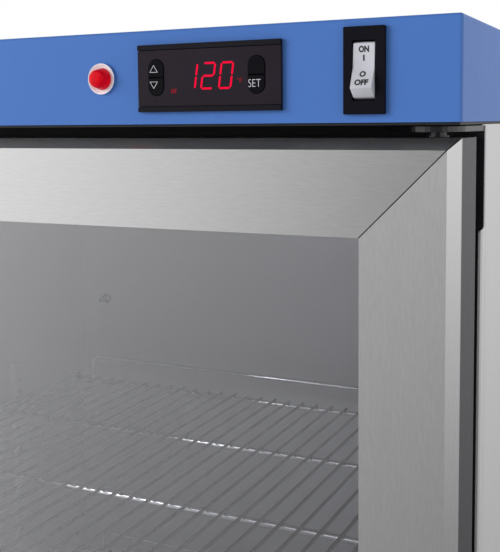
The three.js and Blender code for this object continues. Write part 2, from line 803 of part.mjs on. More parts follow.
function hingeBracket(edge, outward) {
  const armNear = edge + outward * (bushSpacer + seam);
  const armFar = armNear + outward * bracketPlate;
  const span = (a, b) => [Math.min(a, b), Math.max(a, b)];
  const plan = new THREE.Shape();
  plan.moveTo(half, faceY);
  plan.lineTo(hingeX + bracketNose, hingeSetback);
  plan.absarc(hingeX, hingeSetback, bracketNose, 0, -Math.PI, true);
  plan.lineTo(half - bracketReach, faceY);
  const arm = alongZ(plan, ...span(armNear, armFar), 8);
  const legFront = faceY - bracketPlate;
  const legInner = half - bracketLegWidth;
  const legSpan = span(armFar, armFar - outward * bracketLegLength);
  const leg = alongY(roundedRectangle(legInner, half, ...legSpan, bracketLegCorner), legFront, faceY, 3);
  const bend = box([legInner, half], [legFront, faceY],
    span(armFar, armFar - outward * 2 * bracketLegCorner));
  const pinEnd = edge - outward * (pinLength - bracketPlate);
  const pin = rodAlongZ(pinDiameter / 2, ...span(pinEnd, armNear + outward * bracketPlate / 2),
    hingeX, hingeSetback, plainSides);
  return join(arm, leg, bend, pin);
}

function hinges() {
  return groupOf(
    piece('hinge_bracket_top', hingeBracket(doorTop, 1), 'blackSteel'),
    piece('hinge_bracket_bottom', hingeBracket(doorBottom, -1), 'blackSteel'));
}

// Pilasters, rails and shelves

const rodBackY = chamberBack - shelfBackGap;
const rodPitch = (rodBackY - chamberFront - shelfFrontGap) / (rodCount - 1);
const pilasterBottom = chamberFloor + pilasterFloorGap;
const pilasterPlaces = { front: chamberFront + pilasterInset, rear: chamberBack - pilasterInset };
const railFace = chamberHalf - pilasterDepth - seam;
const slotLevel = (index) => pilasterBottom + (index + 0.5) * slotPitch;
const shelfLevels = { upper: slotLevel(upperSlotIndex), lower: slotLevel(lowerSlotIndex) };

// The right-hand pilaster: a channel with a row of slots through its web
function pilaster(y) {
  const outline = rectangle(y - pilasterWidth / 2, y + pilasterWidth / 2,
    pilasterBottom, pilasterBottom + slotCount * slotPitch);
  for (let i = 0; i < slotCount; i += 1) {
    const level = slotLevel(i);
    outline.holes.push(
      rectangle(y - slotWidth / 2, y + slotWidth / 2, level - slotHeight / 2, level + slotHeight / 2));
  }
  const strip = alongX(outline, chamberHalf - pilasterDepth, chamberHalf);
  const grooveHalf = pilasterWidth / 2 - pilasterWeb;
  const groove = box([chamberHalf - pilasterDepth + pilasterWeb, chamberHalf + overcut],
    [y - grooveHalf, y + grooveHalf],
    [pilasterBottom - overcut, pilasterBottom + slotCount * slotPitch + overcut]);
  return cut(strip, groove);
}

// The right-hand shelf rail: an angle that hooks into one slot of each pilaster
function shelfRail(level) {
  const top = level + railTabDrop;
  const [y0, y1] = [pilasterPlaces.front - railOverhang, pilasterPlaces.rear + railOverhang];
  const angle = [
    box([railFace - railSheet, railFace], [y0, y1], [top - railHeight, top]),
    box([railFace - railFlange, railFace], [y0, y1], [top - railSheet, top]),
  ];
  const tabHalfWidth = slotWidth / 2 - 2 * seam;
  const tabHalfHeight = slotHeight / 2 - 2 * seam;
  const tabs = Object.values(pilasterPlaces).map((y) => box(
    [railFace - railSheet, railFace + seam + pilasterWeb + seam], [y - tabHalfWidth, y + tabHalfWidth],
    [level - tabHalfHeight, level + tabHalfHeight]));
  return join(...angle, ...tabs);
}

// Turns a right-hand piece half a turn about the chamber's middle, front to back, for the left wall
function toLeft(shape) {
  return toGeometry(shape).clone().rotateZ(Math.PI).translate(0, chamberFront + chamberBack, 0);
}

const wiresPerSide = Math.floor((chamberHalf - shelfSideGap) / wirePitch + 1e-6);
const shelfHalf = wiresPerSide * wirePitch;
const shelfReach = shelfHalf + wireDiameter / 2;

function wireShelf(level, setback) {
  const rodZ = level + railTabDrop + seam + rodDiameter / 2;
  const wireZ = rodZ + rodDiameter / 2 + wireDiameter / 2 - weldDepth;
  const rods = [];
  for (let i = 0; i < rodCount; i += 1) {
    const y = rodBackY + setback - i * rodPitch;
    rods.push(rodAlongX(rodDiameter / 2, -shelfReach, shelfReach, y, rodZ, rodSides));
  }
  const front = rodBackY + setback - (rodCount - 1) * rodPitch - wireOverhang;
  const back = rodBackY + setback + wireOverhang;
  const wires = [];
  for (let i = -wiresPerSide; i <= wiresPerSide; i += 1) {
    wires.push(rodAlongY(wireDiameter / 2, front, back, i * wirePitch, wireZ, wireSides));
  }
  return join(...rods, ...wires);
}

// The raised wire that keeps blankets off the back wall, standing on the rear rod between two deck wires
function backstop(level, setback) {
  const radius = backstopDiameter / 2;
  const seat = level + railTabDrop + seam + rodDiameter + seam;
  const top = seat + backstopRise;
  const legX = (wiresPerSide - backstopWiresIn) * wirePitch;
  const y = rodBackY + setback;
  const legs = [-legX, legX].map((x) => rodAlongZ(radius, seat, top, x, y, rodSides));
  return join(rodAlongX(radius, -legX - radius, legX + radius, y, top, rodSides), ...legs);
}

function shelving() {
  const uprights = Object.entries(pilasterPlaces).flatMap(([place, y]) => {
    const opposite = chamberFront + chamberBack - y;
    return [
      piece(`pilaster_right_${place}`, pilaster(y), 'satin'),
      piece(`pilaster_left_${place}`, toLeft(pilaster(opposite)), 'satin'),
    ];
  });
  const shelves = Object.entries(shelfLevels).flatMap(([place, level]) => {
    const setback = place === 'lower' ? lowerShelfSetback : 0;
    return [
      piece(`shelf_rail_${place}_right`, shelfRail(level), 'satin'),
      piece(`shelf_rail_${place}_left`, toLeft(shelfRail(level)), 'satin'),
      piece(`shelf_${place}`, wireShelf(level, setback), 'chrome'),
      piece(`shelf_${place}_backstop`, backstop(level, setback), 'chrome'),
    ];
  });
  return groupOf(uprights, shelves);
}

// Heater, fan and cover

const coverFront = chamberBack - coverDepth;
const coverFrontTop = chamberFloor + fanSize + 2 * coverMargin;
const fanZ = chamberFloor + coverMargin + fanSize / 2;
const fanFront = coverFront + sheet + seam;

function coverSection(inset) {
  const top = coverFrontTop + coverSlopeRise - inset;
  const slant = inset * Math.tan(Math.atan2(coverSlopeRise, coverSlopeRun) / 2);
  return polygon([
    [coverFront + inset, chamberFloor - inset], [chamberBack + inset, chamberFloor - inset],
    [chamberBack + inset, top], [coverFront + coverSlopeRun + slant, top],
    [coverFront + inset, coverFrontTop - slant],
  ]);
}

function heaterCover() {
  const wide = coverWidth / 2;
  const shell = cut(alongX(coverSection(0), -wide, wide),
    alongX(coverSection(sheet), -wide + sheet, wide - sheet));
  const through = [coverFront - overcut, coverFront + 2 * sheet];
  const slots = [];
  for (let row = 0; row < coverSlotRows; row += 1) {
    const z = fanZ + (row - (coverSlotRows - 1) / 2) * coverSlotPitch;
    const band = [z - coverSlotWidth / 2, z + coverSlotWidth / 2];
    const near = wide - coverSlotInset;
    slots.push(box([near - coverSlotLength, near], through, band));
    slots.push(box([-near, -near + coverSlotLength], through, band));
    const chord = Math.sqrt((fanBore / 2) ** 2 - (Math.abs(z - fanZ) + coverSlotWidth / 2) ** 2);
    slots.push(box([-chord, chord], through, band));
  }
  return cut(shell, ...slots);
}

function fanFrame() {
  const reach = fanSize / 2;
  const outline = roundedRectangle(-reach, reach, -reach, reach, coverMargin / 2);
  const bore = new THREE.Path();
  bore.absarc(0, 0, fanBore / 2, 0, Math.PI * 2, true);
  outline.holes.push(bore);
  const shroud = alongY(outline, 0, fanDepth, 6);
  const motor = rodAlongY(fanHub / 2, fanDepth - fanMotorDepth, fanDepth, 0, 0, roundSides);
  const diagonal = fanBore / 2 + fanOverlap;
  const strut = () => box([-diagonal, diagonal], [fanDepth - fanStrut, fanDepth],
    [-fanStrut / 2, fanStrut / 2]);
  return join(shroud, motor, strut().rotateY(Math.PI / 4), strut().rotateY(-Math.PI / 4));
}

function fanRotor() {
  const back = fanDepth - fanMotorDepth - seam;
  const front = back - fanRotorDepth;
  const hub = rodAlongY(fanHub / 2, front, back, 0, 0, roundSides);
  const tip = fanBore / 2 - fanTipGap;
  const blades = [];
  for (let i = 0; i < bladeCount; i += 1) {
    const blade = box([fanHub / 2 - 2 * fanOverlap, tip], [-bladeThickness / 2, bladeThickness / 2],
      [-bladeChord / 2, bladeChord / 2]);
    blades.push(blade.rotateX(THREE.MathUtils.degToRad(bladePitch)).translate(0, (front + back) / 2, 0)
      .rotateY((i / bladeCount) * Math.PI * 2));
  }
  return trim(join(hub, ...blades), rodAlongY(tip, front - fanDepth, back, 0, 0, 2 * roundSides));
}

function heaterElement() {
  const y = chamberBack - heaterBackGap;
  const low = chamberFloor + heaterFloorGap;
  const reach = coverWidth / 2 - heaterEndGap;
  const bend = heaterRise / 2;
  const path = new THREE.CurvePath();
  const at = (x, z) => new THREE.Vector3(x, y, z);
  path.add(new THREE.LineCurve3(at(-reach, low), at(reach - bend, low)));
  const k = bend * 4 / 3;
  path.add(new THREE.CubicBezierCurve3(at(reach - bend, low), at(reach - bend + k, low),
    at(reach - bend + k, low + heaterRise), at(reach - bend, low + heaterRise)));
  path.add(new THREE.LineCurve3(at(reach - bend, low + heaterRise), at(-reach, low + heaterRise)));
  const section = new THREE.Shape();
  section.absarc(0, 0, heaterDiameter / 2, 0, Math.PI * 2, false);
  const tube = new THREE.ExtrudeGeometry(section, { steps: 48, curveSegments: 3, extrudePath: path });
  const plate = box([-reach - heaterPlate, -reach + heaterPlateOverlap],
    [y - heaterDiameter, chamberBack - seam],
    [low - heaterDiameter, low + heaterRise + heaterDiameter]);
  return join(tube, plate);
}

function temperatureProbe() {
  const probe = turned([
    [0, 0], [probeFlangeDiameter / 2, 0], [probeFlangeDiameter / 2, probeFlange],
    [probeDiameter / 2, probeFlange], [probeDiameter / 2, probeLength - probeTipBevel],
    [probeDiameter / 2 - probeTipBevel, probeLength], [0, probeLength],
  ], plainSides);
  return probe.rotateX(Math.PI / 2)
    .translate(-chamberHalf + probeInset, chamberBack - seam, chamberCeiling - probeDrop);
}

function airSystem() {
  const fan = groupOf(
    piece('fan_frame', fanFrame(), 'blackPlastic'),
    piece('fan_rotor', fanRotor(), 'blackPlastic'));
  fan.position.set(0, fanFront, fanZ);
  return groupOf(
    fan,
    piece('heater_cover', heaterCover(), 'satin'),
    piece('heater_element', heaterElement(), 'satin'),
    piece('temperature_probe', temperatureProbe(), 'blackPlastic'));
}

// Levelling feet: a round pad, a neck with its lock nut against the base pan, and a stud in the pan's boss

function foot() {
  const pad = footPadDiameter / 2;
  const neck = footNeckDiameter / 2;
  const nut = footNutDiameter / 2;
  const nutTop = footHeight - seam;
  return turned([
    [0, 0], [pad - footPadBevel, 0], [pad, footPadBevel], [pad, footPadThickness],
    [neck, footPadThickness + footCone],
    [neck, nutTop - footNutThickness], [nut, nutTop - footNutThickness], [nut, nutTop],
    [studDiameter / 2, nutTop], [studDiameter / 2, nutTop + studLength], [0, nutTop + studLength],
  ], plainSides);
}

function feet() {
  return groupOf(Object.entries(footPlaces).map(
    ([place, [x, y]]) => piece(`foot_${place}`, foot().translate(x, y, 0), 'blackPlastic')));
}

// The whole cabinet, centred front to back on its own box
const cabinet = groupOf(
  carcass(), liner(), controlHousing(), controller(), rockerSwitch(), pilotLamp(),
  door(), hinges(), shelving(), airSystem(), feet());
cabinet.position.y = (handleFront - cabinetDepth - glandReach) / 2;

export default cabinet;
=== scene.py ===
"""Finishes, fine pieces, studio and camera for a compact blanket warming cabinet with a glass door."""

import json
import math

import bmesh
import bpy
from mathutils import Matrix, Vector


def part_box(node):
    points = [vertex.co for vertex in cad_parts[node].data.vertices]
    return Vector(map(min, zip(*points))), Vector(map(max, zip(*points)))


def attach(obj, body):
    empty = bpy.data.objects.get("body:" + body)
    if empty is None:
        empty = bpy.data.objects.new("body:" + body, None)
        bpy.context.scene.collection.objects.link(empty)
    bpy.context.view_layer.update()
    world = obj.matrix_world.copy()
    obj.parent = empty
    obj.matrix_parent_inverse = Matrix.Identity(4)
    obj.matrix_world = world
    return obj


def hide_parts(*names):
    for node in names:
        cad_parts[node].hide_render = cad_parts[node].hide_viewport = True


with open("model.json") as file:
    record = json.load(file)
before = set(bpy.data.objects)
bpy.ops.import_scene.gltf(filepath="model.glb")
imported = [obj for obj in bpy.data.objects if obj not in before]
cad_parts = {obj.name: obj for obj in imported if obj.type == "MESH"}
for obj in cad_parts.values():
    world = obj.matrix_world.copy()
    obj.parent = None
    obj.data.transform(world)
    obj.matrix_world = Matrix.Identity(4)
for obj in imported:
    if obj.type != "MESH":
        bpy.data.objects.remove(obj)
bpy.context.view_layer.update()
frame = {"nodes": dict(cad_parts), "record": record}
NODES = frame["nodes"]
BODY_OF = {n: body for body, members in frame["record"]["behaviour"]["bodies"].items() for n in members}
SLOT_OF = {part["node"]: part["material_slot"] for part in frame["record"]["subparts"]}
MM = 0.001

# Camera, solved from the photograph: the place is measured from the hood's lower right front corner

IMAGE_HEIGHT = 552
FOCAL_PIXELS = 926.3
AXIS_PIXEL_BELOW_TOP = 200.0
SENSOR_WIDTH = 36.0
CLIP_START = 0.01
CAMERA_FROM_CORNER = Vector((90.65, -404.67, 1.2)) * MM
CAMERA_YAW = math.radians(25.524)
CAMERA_PITCH = math.radians(-4.869)
CAMERA_ROLL = math.radians(-0.523)


def photo_camera():
    low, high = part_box("control_hood")
    place = Vector((high.x, low.y, low.z)) + CAMERA_FROM_CORNER
    turn = Matrix.Rotation(CAMERA_YAW, 4, "Z") @ Matrix.Rotation(math.pi / 2 + CAMERA_PITCH, 4, "X")
    data = bpy.data.cameras.new("photo_camera")
    data.sensor_width = SENSOR_WIDTH
    data.lens = FOCAL_PIXELS / IMAGE_HEIGHT * SENSOR_WIDTH
    data.shift_y = AXIS_PIXEL_BELOW_TOP / IMAGE_HEIGHT - 0.5
    data.clip_start = CLIP_START
    camera = bpy.data.objects.new("photo_camera", data)
    camera.matrix_world = Matrix.Translation(place) @ turn @ Matrix.Rotation(CAMERA_ROLL, 4, "Z")
    bpy.context.collection.objects.link(camera)
    bpy.context.scene.camera = camera


# Material building blocks

RANGE_SOCKETS = ("From Min", "From Max", "To Min", "To Max")
NOISE_SPAN = (0.3, 0.7)
BORDER_BLEND = 0.3 * MM


def new_material(name, color, roughness, metallic=0.0, sockets=None):
    material = bpy.data.materials.new(name)
    material.use_nodes = True
    values = {"Base Color": (*color, 1), "Roughness": roughness, "Metallic": metallic, **(sockets or {})}
    for socket, value in values.items():
        shader_of(material).inputs[socket].default_value = value
    return material


def shader_of(material):
    return material.node_tree.nodes["Principled BSDF"]


def add_node(material, kind, **inputs):
    node = material.node_tree.nodes.new(kind)
    for socket, value in inputs.items():
        node.inputs[socket].default_value = value
    return node


def join_sockets(material, source, target):
    material.node_tree.links.new(source, target)


def object_coordinates(material):
    return add_node(material, "ShaderNodeTexCoord").outputs["Object"]


# Noise on the piece's own coordinates: cells per metre along each axis, so a low number draws a long streak
def grain(material, cells, detail=3.0):
    mapping = add_node(material, "ShaderNodeMapping", Scale=cells)
    join_sockets(material, object_coordinates(material), mapping.inputs["Vector"])
    noise = add_node(material, "ShaderNodeTexNoise", Scale=1.0, Detail=detail)
    join_sockets(material, mapping.outputs["Vector"], noise.inputs["Vector"])
    return noise.outputs["Fac"]


# A straight ramp over a span of the source, level beyond both of its ends
def range_node(tree, source, span, levels):
    node = tree.nodes.new("ShaderNodeMapRange")
    for socket, value in zip(RANGE_SOCKETS, (*span, *levels)):
        node.inputs[socket].default_value = value
    tree.links.new(source, node.inputs["Value"])
    return node.outputs["Result"]


def math_node(tree, operation, first, second):
    node = tree.nodes.new("ShaderNodeMath")
    node.operation = operation
    tree.links.new(first, node.inputs[0])
    tree.links.new(second, node.inputs[1])
    return node.outputs["Value"]


def remap(material, source, low, high, span=NOISE_SPAN):
    return range_node(material.node_tree, source, span, (low, high))


def vary_roughness(material, source, low, high):
    join_sockets(material, remap(material, source, low, high), shader_of(material).inputs["Roughness"])


# A mix of two colours, each given as a triple or as an output of another node
def blend_colors(material, factor, first, second):
    node = add_node(material, "ShaderNodeMix")
    node.data_type = "RGBA"
    for socket, value in zip([s for s in node.inputs if s.type == "RGBA"], (first, second)):
        if isinstance(value, tuple):
            socket.default_value = (*value, 1)
        else:
            join_sockets(material, value, socket)
    join_sockets(material, factor, node.inputs["Factor"])
    return [s for s in node.outputs if s.type == "RGBA"][0]


def scaled(color, factor):
    return tuple(c * factor for c in color)


# Lets a colour wander between a darker and a lighter share of itself
def vary_color(material, source, color, dark, light):
    tone = blend_colors(material, remap(material, source, 0, 1), scaled(color, dark), scaled(color, light))
    join_sockets(material, tone, shader_of(material).inputs["Base Color"])
    return tone


# Goes from 0 to 1 past a place along one axis of the piece's own coordinates
def past(material, axis, place):
    split = add_node(material, "ShaderNodeSeparateXYZ")
    join_sockets(material, object_coordinates(material), split.inputs[0])
    return remap(material, split.outputs[axis], 0, 1, (place - BORDER_BLEND, place + BORDER_BLEND))


def add_bump(material, source, distance, strength=1.0):
    node = add_node(material, "ShaderNodeBump", Strength=strength, Distance=distance)
    join_sockets(material, source, node.inputs["Height"])
    join_sockets(material, node.outputs["Normal"], shader_of(material).inputs["Normal"])


# Leaves the material as it is where the factor is 0, and clear where it is 1
def clear_where(material, factor, tint=(1, 1, 1)):
    clear = add_node(material, "ShaderNodeBsdfTransparent", Color=(*tint, 1))
    mix = add_node(material, "ShaderNodeMixShader")
    join_sockets(material, factor, mix.inputs[0])
    join_sockets(material, shader_of(material).outputs[0], mix.inputs[1])
    join_sockets(material, clear.outputs[0], mix.inputs[2])
    join_sockets(material, mix.outputs[0], material.node_tree.nodes["Material Output"].inputs["Surface"])


# Sheet metal and wire: textures in cells per metre, and roughness from the smoothest to the roughest spot

STEEL = (0.60, 0.60, 0.602)
# Painted shade: a dark steel colour for the door members' sides, standing in for their dark reflection
DOOR_SIDE_PAINTED_SHADE = (0.10, 0.098, 0.107)
STREAK_CELLS = 2600
SATIN_STREAK_CELLS = 900
STREAK_LENGTH_CELLS = 160
STREAK_DEPTH = 0.01 * MM
SATIN_CLOUDS = (6, 6, 6)
ZINC_FLAKES = (70, 70, 70)
WIRE_WEAR = (220, 220, 220)
FINE_BRUSHING = (0.28, 0.36)
COARSE_BRUSHING = (0.38, 0.46)
SATIN_ROUGHNESS = (0.32, 0.40)
ZINC_ROUGHNESS = (0.42, 0.58)
WIRE_ROUGHNESS = (0.1, 0.18)
BRUSHED_SPREAD = 0.8
SATIN_SPREAD = 0.75
ALONG_AXIS = {"X": 0, "Y": 1, "Z": 2}


def streaks(material, along, fine=STREAK_CELLS):
    cells = [fine] * 3
    cells[ALONG_AXIS[along]] = STREAK_LENGTH_CELLS
    return grain(material, cells, detail=2.0)


# Scratches spread a highlight across themselves: the tangent runs round the upright axis, so a quarter turn
# suits scratches that run level
def spread_across(along, amount):
    return {"Anisotropic": amount, "Anisotropic Rotation": 0.0 if along == "Z" else 0.25}


# Brushed sheet; on a door member, the sides behind the folded bevel of its front get a dark base colour,
# painted shade for the dark reflection they show
def brushed_steel(name, along, rough=FINE_BRUSHING, shade_painted_behind=None):
    material = new_material(name, STEEL, rough[0], metallic=1.0, sockets=spread_across(along, BRUSHED_SPREAD))
    lines = streaks(material, along)
    vary_roughness(material, lines, *rough)
    tone = vary_color(material, lines, STEEL, 0.94, 1.05)
    if shade_painted_behind is not None:
        # Painted shade on the door member's sides, past the start of the sides
        side = blend_colors(material, past(material, "Y", shade_painted_behind), tone, DOOR_SIDE_PAINTED_SHADE)
        join_sockets(material, side, shader_of(material).inputs["Base Color"])
    add_bump(material, lines, STREAK_DEPTH, strength=0.2)
    return material


# Satin sheet scatters part of the light, so it isn't wholly a mirror
def satin_steel(name, along):
    color = (0.46, 0.46, 0.475)
    material = new_material(name, color, 0.36, metallic=0.75, sockets=spread_across(along, SATIN_SPREAD))
    lines = streaks(material, along, SATIN_STREAK_CELLS)
    vary_roughness(material, lines, *SATIN_ROUGHNESS)
    vary_color(material, grain(material, SATIN_CLOUDS), color, 0.96, 1.03)
    return material


def zinc_sheet():
    color = (0.50, 0.52, 0.53)
    material = new_material("zinc_sheet", color, 0.5, metallic=1.0)
    flakes = grain(material, ZINC_FLAKES, detail=1.0)
    vary_color(material, flakes, color, 0.85, 1.1)
    vary_roughness(material, flakes, *ZINC_ROUGHNESS)
    return material


def plated_wire(name, color):
    material = new_material(name, color, 0.14, metallic=1.0)
    vary_roughness(material, grain(material, WIRE_WEAR), *WIRE_ROUGHNESS)
    return material


# Paint, plastic, rubber, foam and glass

PAINT_CLOUDS = (9, 9, 9)
PAINT_TEXTURE = (850, 850, 850)
PAINT_DEPTH = 0.03 * MM
PAINT_ROUGHNESS = (0.44, 0.56)
SPARK_TEXTURE = (1600, 1600, 1600)
SPARK_DEPTH = 0.02 * MM
MOULDED_CLOUDS = (40, 40, 40)
LENS_CLOUDS = (300, 300, 300)
FOAM_CELLS = (500, 500, 500)
FOAM_DEPTH = 0.4 * MM


def blue_paint():
    color = (0.058, 0.160, 0.470)
    material = new_material("blue_paint", color, 0.5, sockets={"Specular IOR Level": 0.3})
    vary_color(material, grain(material, PAINT_CLOUDS), color, 0.97, 1.03)
    texture = grain(material, PAINT_TEXTURE, detail=2.0)
    vary_roughness(material, texture, *PAINT_ROUGHNESS)
    add_bump(material, texture, PAINT_DEPTH, strength=0.4)
    return material


# Moulded or coated with a fine spark texture
def moulded(name, color, rough, sockets):
    material = new_material(name, color, rough[0], sockets=sockets)
    spark = grain(material, SPARK_TEXTURE, detail=1.0)
    vary_roughness(material, spark, *rough)
    vary_color(material, grain(material, MOULDED_CLOUDS), color, 0.9, 1.1)
    add_bump(material, spark, SPARK_DEPTH, strength=0.4)
    return material


# Clear to shadow rays, so that lamp light reaches the chamber
def window_glass():
    material = new_material("window_glass", (0.945, 0.947, 0.966), 0.0,
                            sockets={"Transmission Weight": 1.0, "IOR": 1.72})
    light_path = add_node(material, "ShaderNodeLightPath").outputs
    clear_where(material, light_path["Is Shadow Ray"], (0.95, 0.95, 0.955))
    return material


def red_lens():
    color = (0.46, 0.001, 0.008)
    material = new_material("red_lens", color, 0.14,
                            sockets={"Specular IOR Level": 0.1, "Emission Color": (1.0, 0.0, 0.016, 1),
                                     "Emission Strength": 0.18})
    vary_color(material, grain(material, LENS_CLOUDS), color, 0.7, 1.2)
    return material


def lit_red(name, color, strength):
    return new_material(name, scaled(color, 0.3), 0.5,
                        sockets={"Specular IOR Level": 0.0, "Emission Color": (*color, 1),
                                 "Emission Strength": strength})


def ink(name, color):
    return new_material(name, color, 0.55)


def rigid_foam():
    color = (0.78, 0.70, 0.42)
    material = new_material("rigid_foam", color, 0.95)
    cells = grain(material, FOAM_CELLS)
    vary_color(material, cells, color, 0.85, 1.08)
    add_bump(material, cells, FOAM_DEPTH)
    return material


DULL = {"Specular IOR Level": 0.08}
SATIN = {"Specular IOR Level": 0.25}
GLOSSY = {"Specular IOR Level": 0.6}
DOOR_BEVEL = 5.5 * MM
DOOR_SIDES_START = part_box("door_rail_top")[0].y + DOOR_BEVEL

FINISH = {
    "steel_y": brushed_steel("steel_brushed_front_to_back", "Y", COARSE_BRUSHING),
    "steel_z": brushed_steel("steel_brushed_upright", "Z"),
    "door_x": brushed_steel("door_steel_across", "X", shade_painted_behind=DOOR_SIDES_START),
    "door_z": brushed_steel("door_steel_upright", "Z", COARSE_BRUSHING, DOOR_SIDES_START),
    "satin_z": satin_steel("satin_steel_upright", "Z"),
    "satin_y": satin_steel("satin_steel_front_to_back", "Y"),
    "satin_x": satin_steel("satin_steel_across", "X"),
    "zinc": zinc_sheet(),
    # One plated wire in two copies: a bright one for rods and backstops, painted highlight, and a dark one
    # for the shelf wires, painted shade
    "chrome": plated_wire("chrome_painted_highlight", (0.84, 0.845, 0.86)),
    "chrome_shade_painted": plated_wire("chrome_painted_shade", (0.22, 0.222, 0.23)),
    "blue": blue_paint(),
    "black_paint": moulded("black_paint", (0.016, 0.016, 0.019), (0.42, 0.55), SATIN),
    "hinge_black": moulded("hinge_paint", (0.010, 0.010, 0.014), (0.26, 0.34), GLOSSY),
    "black": moulded("black_plastic", (0.005, 0.0045, 0.008), (0.4, 0.52), DULL),
    "key_black": moulded("key_plastic", (0.003, 0.003, 0.005), (0.45, 0.55), DULL),
    "charcoal": moulded("charcoal_plastic", (0.010, 0.009, 0.013), (0.34, 0.44), DULL),
    "smoked": moulded("smoked_facia", (0.018, 0.014, 0.020), (0.2, 0.26), DULL),
    "white": moulded("white_plastic", (0.52, 0.52, 0.57), (0.28, 0.36), SATIN),
    "lamp_white": moulded("lamp_ring_plastic", (0.84, 0.84, 0.88), (0.28, 0.36), SATIN),
    "red_lens": red_lens(),
    "glass": window_glass(),
    "rubber": moulded("gasket_rubber", (0.022, 0.022, 0.024), (0.6, 0.75), SATIN),
    "foam": rigid_foam(),
    "digit": lit_red("lit_digit", (1.0, 0.004, 0.045), 0.72),
    "dim_sign": lit_red("dim_sign", (1.0, 0.02, 0.05), 0.10),
    "pale_ink": ink("pale_ink", (0.56, 0.56, 0.60)),
    "dark_ink": ink("dark_ink", (0.012, 0.012, 0.016)),
}

NODES_BY_FINISH = {
    "steel_y": ("side_panel_left", "side_panel_right"),
    "steel_z": ("door_handle",),
    "door_x": ("door_rail_top", "door_rail_bottom"),
    "door_z": ("door_stile_left", "door_stile_right"),
    "satin_z": ("liner_left", "liner_right", "liner_back", "pilaster_left_front", "pilaster_left_rear",
                "pilaster_right_front", "pilaster_right_rear"),
    "satin_y": ("shelf_rail_upper_left", "shelf_rail_upper_right", "shelf_rail_lower_left",
                "shelf_rail_lower_right"),
    "satin_x": ("liner_ceiling", "liner_floor", "heater_cover", "heater_element"),
    "zinc": ("back_panel", "base_pan", "glass_spacer"),
    "chrome": ("shelf_upper", "shelf_lower", "shelf_upper_backstop", "shelf_lower_backstop"),
    "blue": ("control_hood",),
    "black_paint": ("front_frame", "control_deck"),
    "hinge_black": ("hinge_bracket_top", "hinge_bracket_bottom", "hinge_bush_top", "hinge_bush_bottom"),
    "black": ("cable_gland", "controller_case", "switch_bezel", "fan_frame", "fan_rotor", "temperature_probe",
              "door_inner_frame", "foot_front_left", "foot_front_right", "foot_rear_left", "foot_rear_right"),
    "key_black": ("key_up", "key_down", "key_blank", "key_set"),
    "charcoal": ("controller_bezel",),
    "smoked": ("controller_facia",),
    "white": ("switch_rocker",),
    "lamp_white": ("pilot_bezel",),
    "red_lens": ("pilot_lens",),
    "glass": ("glass_outer", "glass_inner"),
    "rubber": ("door_gasket",),
    "foam": ("foam_insulation",),
}
NODE_FINISH = {node: finish for finish, nodes in NODES_BY_FINISH.items() for node in nodes}


def dress_nodes():
    for name, finish in NODE_FINISH.items():
        slots = NODES[name].data.materials
        slots.clear()
        slots.append(FINISH[finish])


# Folded and moulded edges, by radius in millimetres
# A node's facets are welded together, and then what is sharp is rounded

NODES_BY_EDGE_RADIUS = {
    0.2: ("key_up", "key_down", "key_blank", "key_set", "control_deck"),
    0.3: ("control_hood", "side_panel_left", "side_panel_right", "back_panel", "base_pan", "glass_outer",
          "glass_inner", "heater_cover"),
    0.35: ("controller_bezel",),
    0.4: ("cable_gland",),
    0.5: ("switch_bezel", "hinge_bracket_top", "hinge_bracket_bottom", "fan_frame"),
    0.6: ("front_frame",),
    0.8: ("door_inner_frame",),
    2.0: ("door_gasket",),
}
WELD_REACH = 0.005 * MM
SHARP_EDGE_DEGREES = 40
EDGE_STEPS = 2


def round_edges():
    for radius, names in NODES_BY_EDGE_RADIUS.items():
        for name in names:
            weld = NODES[name].modifiers.new("weld", "WELD")
            weld.merge_threshold = WELD_REACH
            bevel = NODES[name].modifiers.new("round_edges", "BEVEL")
            bevel.width = radius * MM
            bevel.segments = EDGE_STEPS
            bevel.limit_method = "ANGLE"
            bevel.angle_limit = math.radians(SHARP_EDGE_DEGREES)
            bevel.harden_normals = True


# Mesh building blocks

SMOOTH_UP_TO_DEGREES = 35


# Turns a shape into a piece that rides on a body, and takes the place of a node where one is named
def finish_piece(name, shape, finish, body, replaced=None, smooth_up_to=SMOOTH_UP_TO_DEGREES):
    mesh = bpy.data.meshes.new(name)
    bmesh.ops.recalc_face_normals(shape, faces=shape.faces)
    shape.to_mesh(mesh)
    shape.free()
    mesh.polygons.foreach_set("use_smooth", [True] * len(mesh.polygons))
    mesh.set_sharp_from_angle(angle=math.radians(smooth_up_to))
    mesh.materials.append(FINISH[finish])
    piece = bpy.data.objects.new(name, mesh)
    bpy.context.collection.objects.link(piece)
    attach(piece, body)
    if replaced:
        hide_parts(replaced)
    return piece


# A finer form in the place of a node, with the node's own finish and body
def stand_in(node, shape, smooth_up_to=SMOOTH_UP_TO_DEGREES):
    finish, body, slot = NODE_FINISH[node], BODY_OF[node], SLOT_OF[node]
    return finish_piece(f"{node}_form", shape, finish, body, node, smooth_up_to)


# Joins each ring of corners to the next; a ring of one corner is a point
def bridge_rings(shape, rings):
    for first, second in zip(rings, rings[1:]):
        count = max(len(first), len(second))
        for i in range(count):
            j = (i + 1) % count
            corners = [first[i % len(first)], first[j % len(first)]]
            corners += [second[j % len(second)], second[i % len(second)]]
            unique = list(dict.fromkeys(corners))
            if len(unique) > 2:
                shape.faces.new(unique)


def circle(sides):
    angles = [2 * math.pi * i / sides for i in range(sides)]
    return [(math.cos(a), math.sin(a)) for a in angles]


# A turned form about the Z axis of its place: profile points are (radius, height) in millimetres
def add_lathe(shape, profile, place, sides):
    rings = []
    for radius, height in profile:
        around = circle(sides) if radius > 0 else [(0, 0)]
        points = [Vector((radius * c, radius * s, height)) * MM for c, s in around]
        rings.append([shape.verts.new(place @ point) for point in points])
    bridge_rings(shape, rings)


# The cut end of a wire, in shares of its radius: (distance from the end, radius there)
WIRE_END = ((0.0, 0.55), (0.14, 0.9), (0.35, 1.0))
BEND_STEPS = 6
NEARLY_UPRIGHT = 0.9


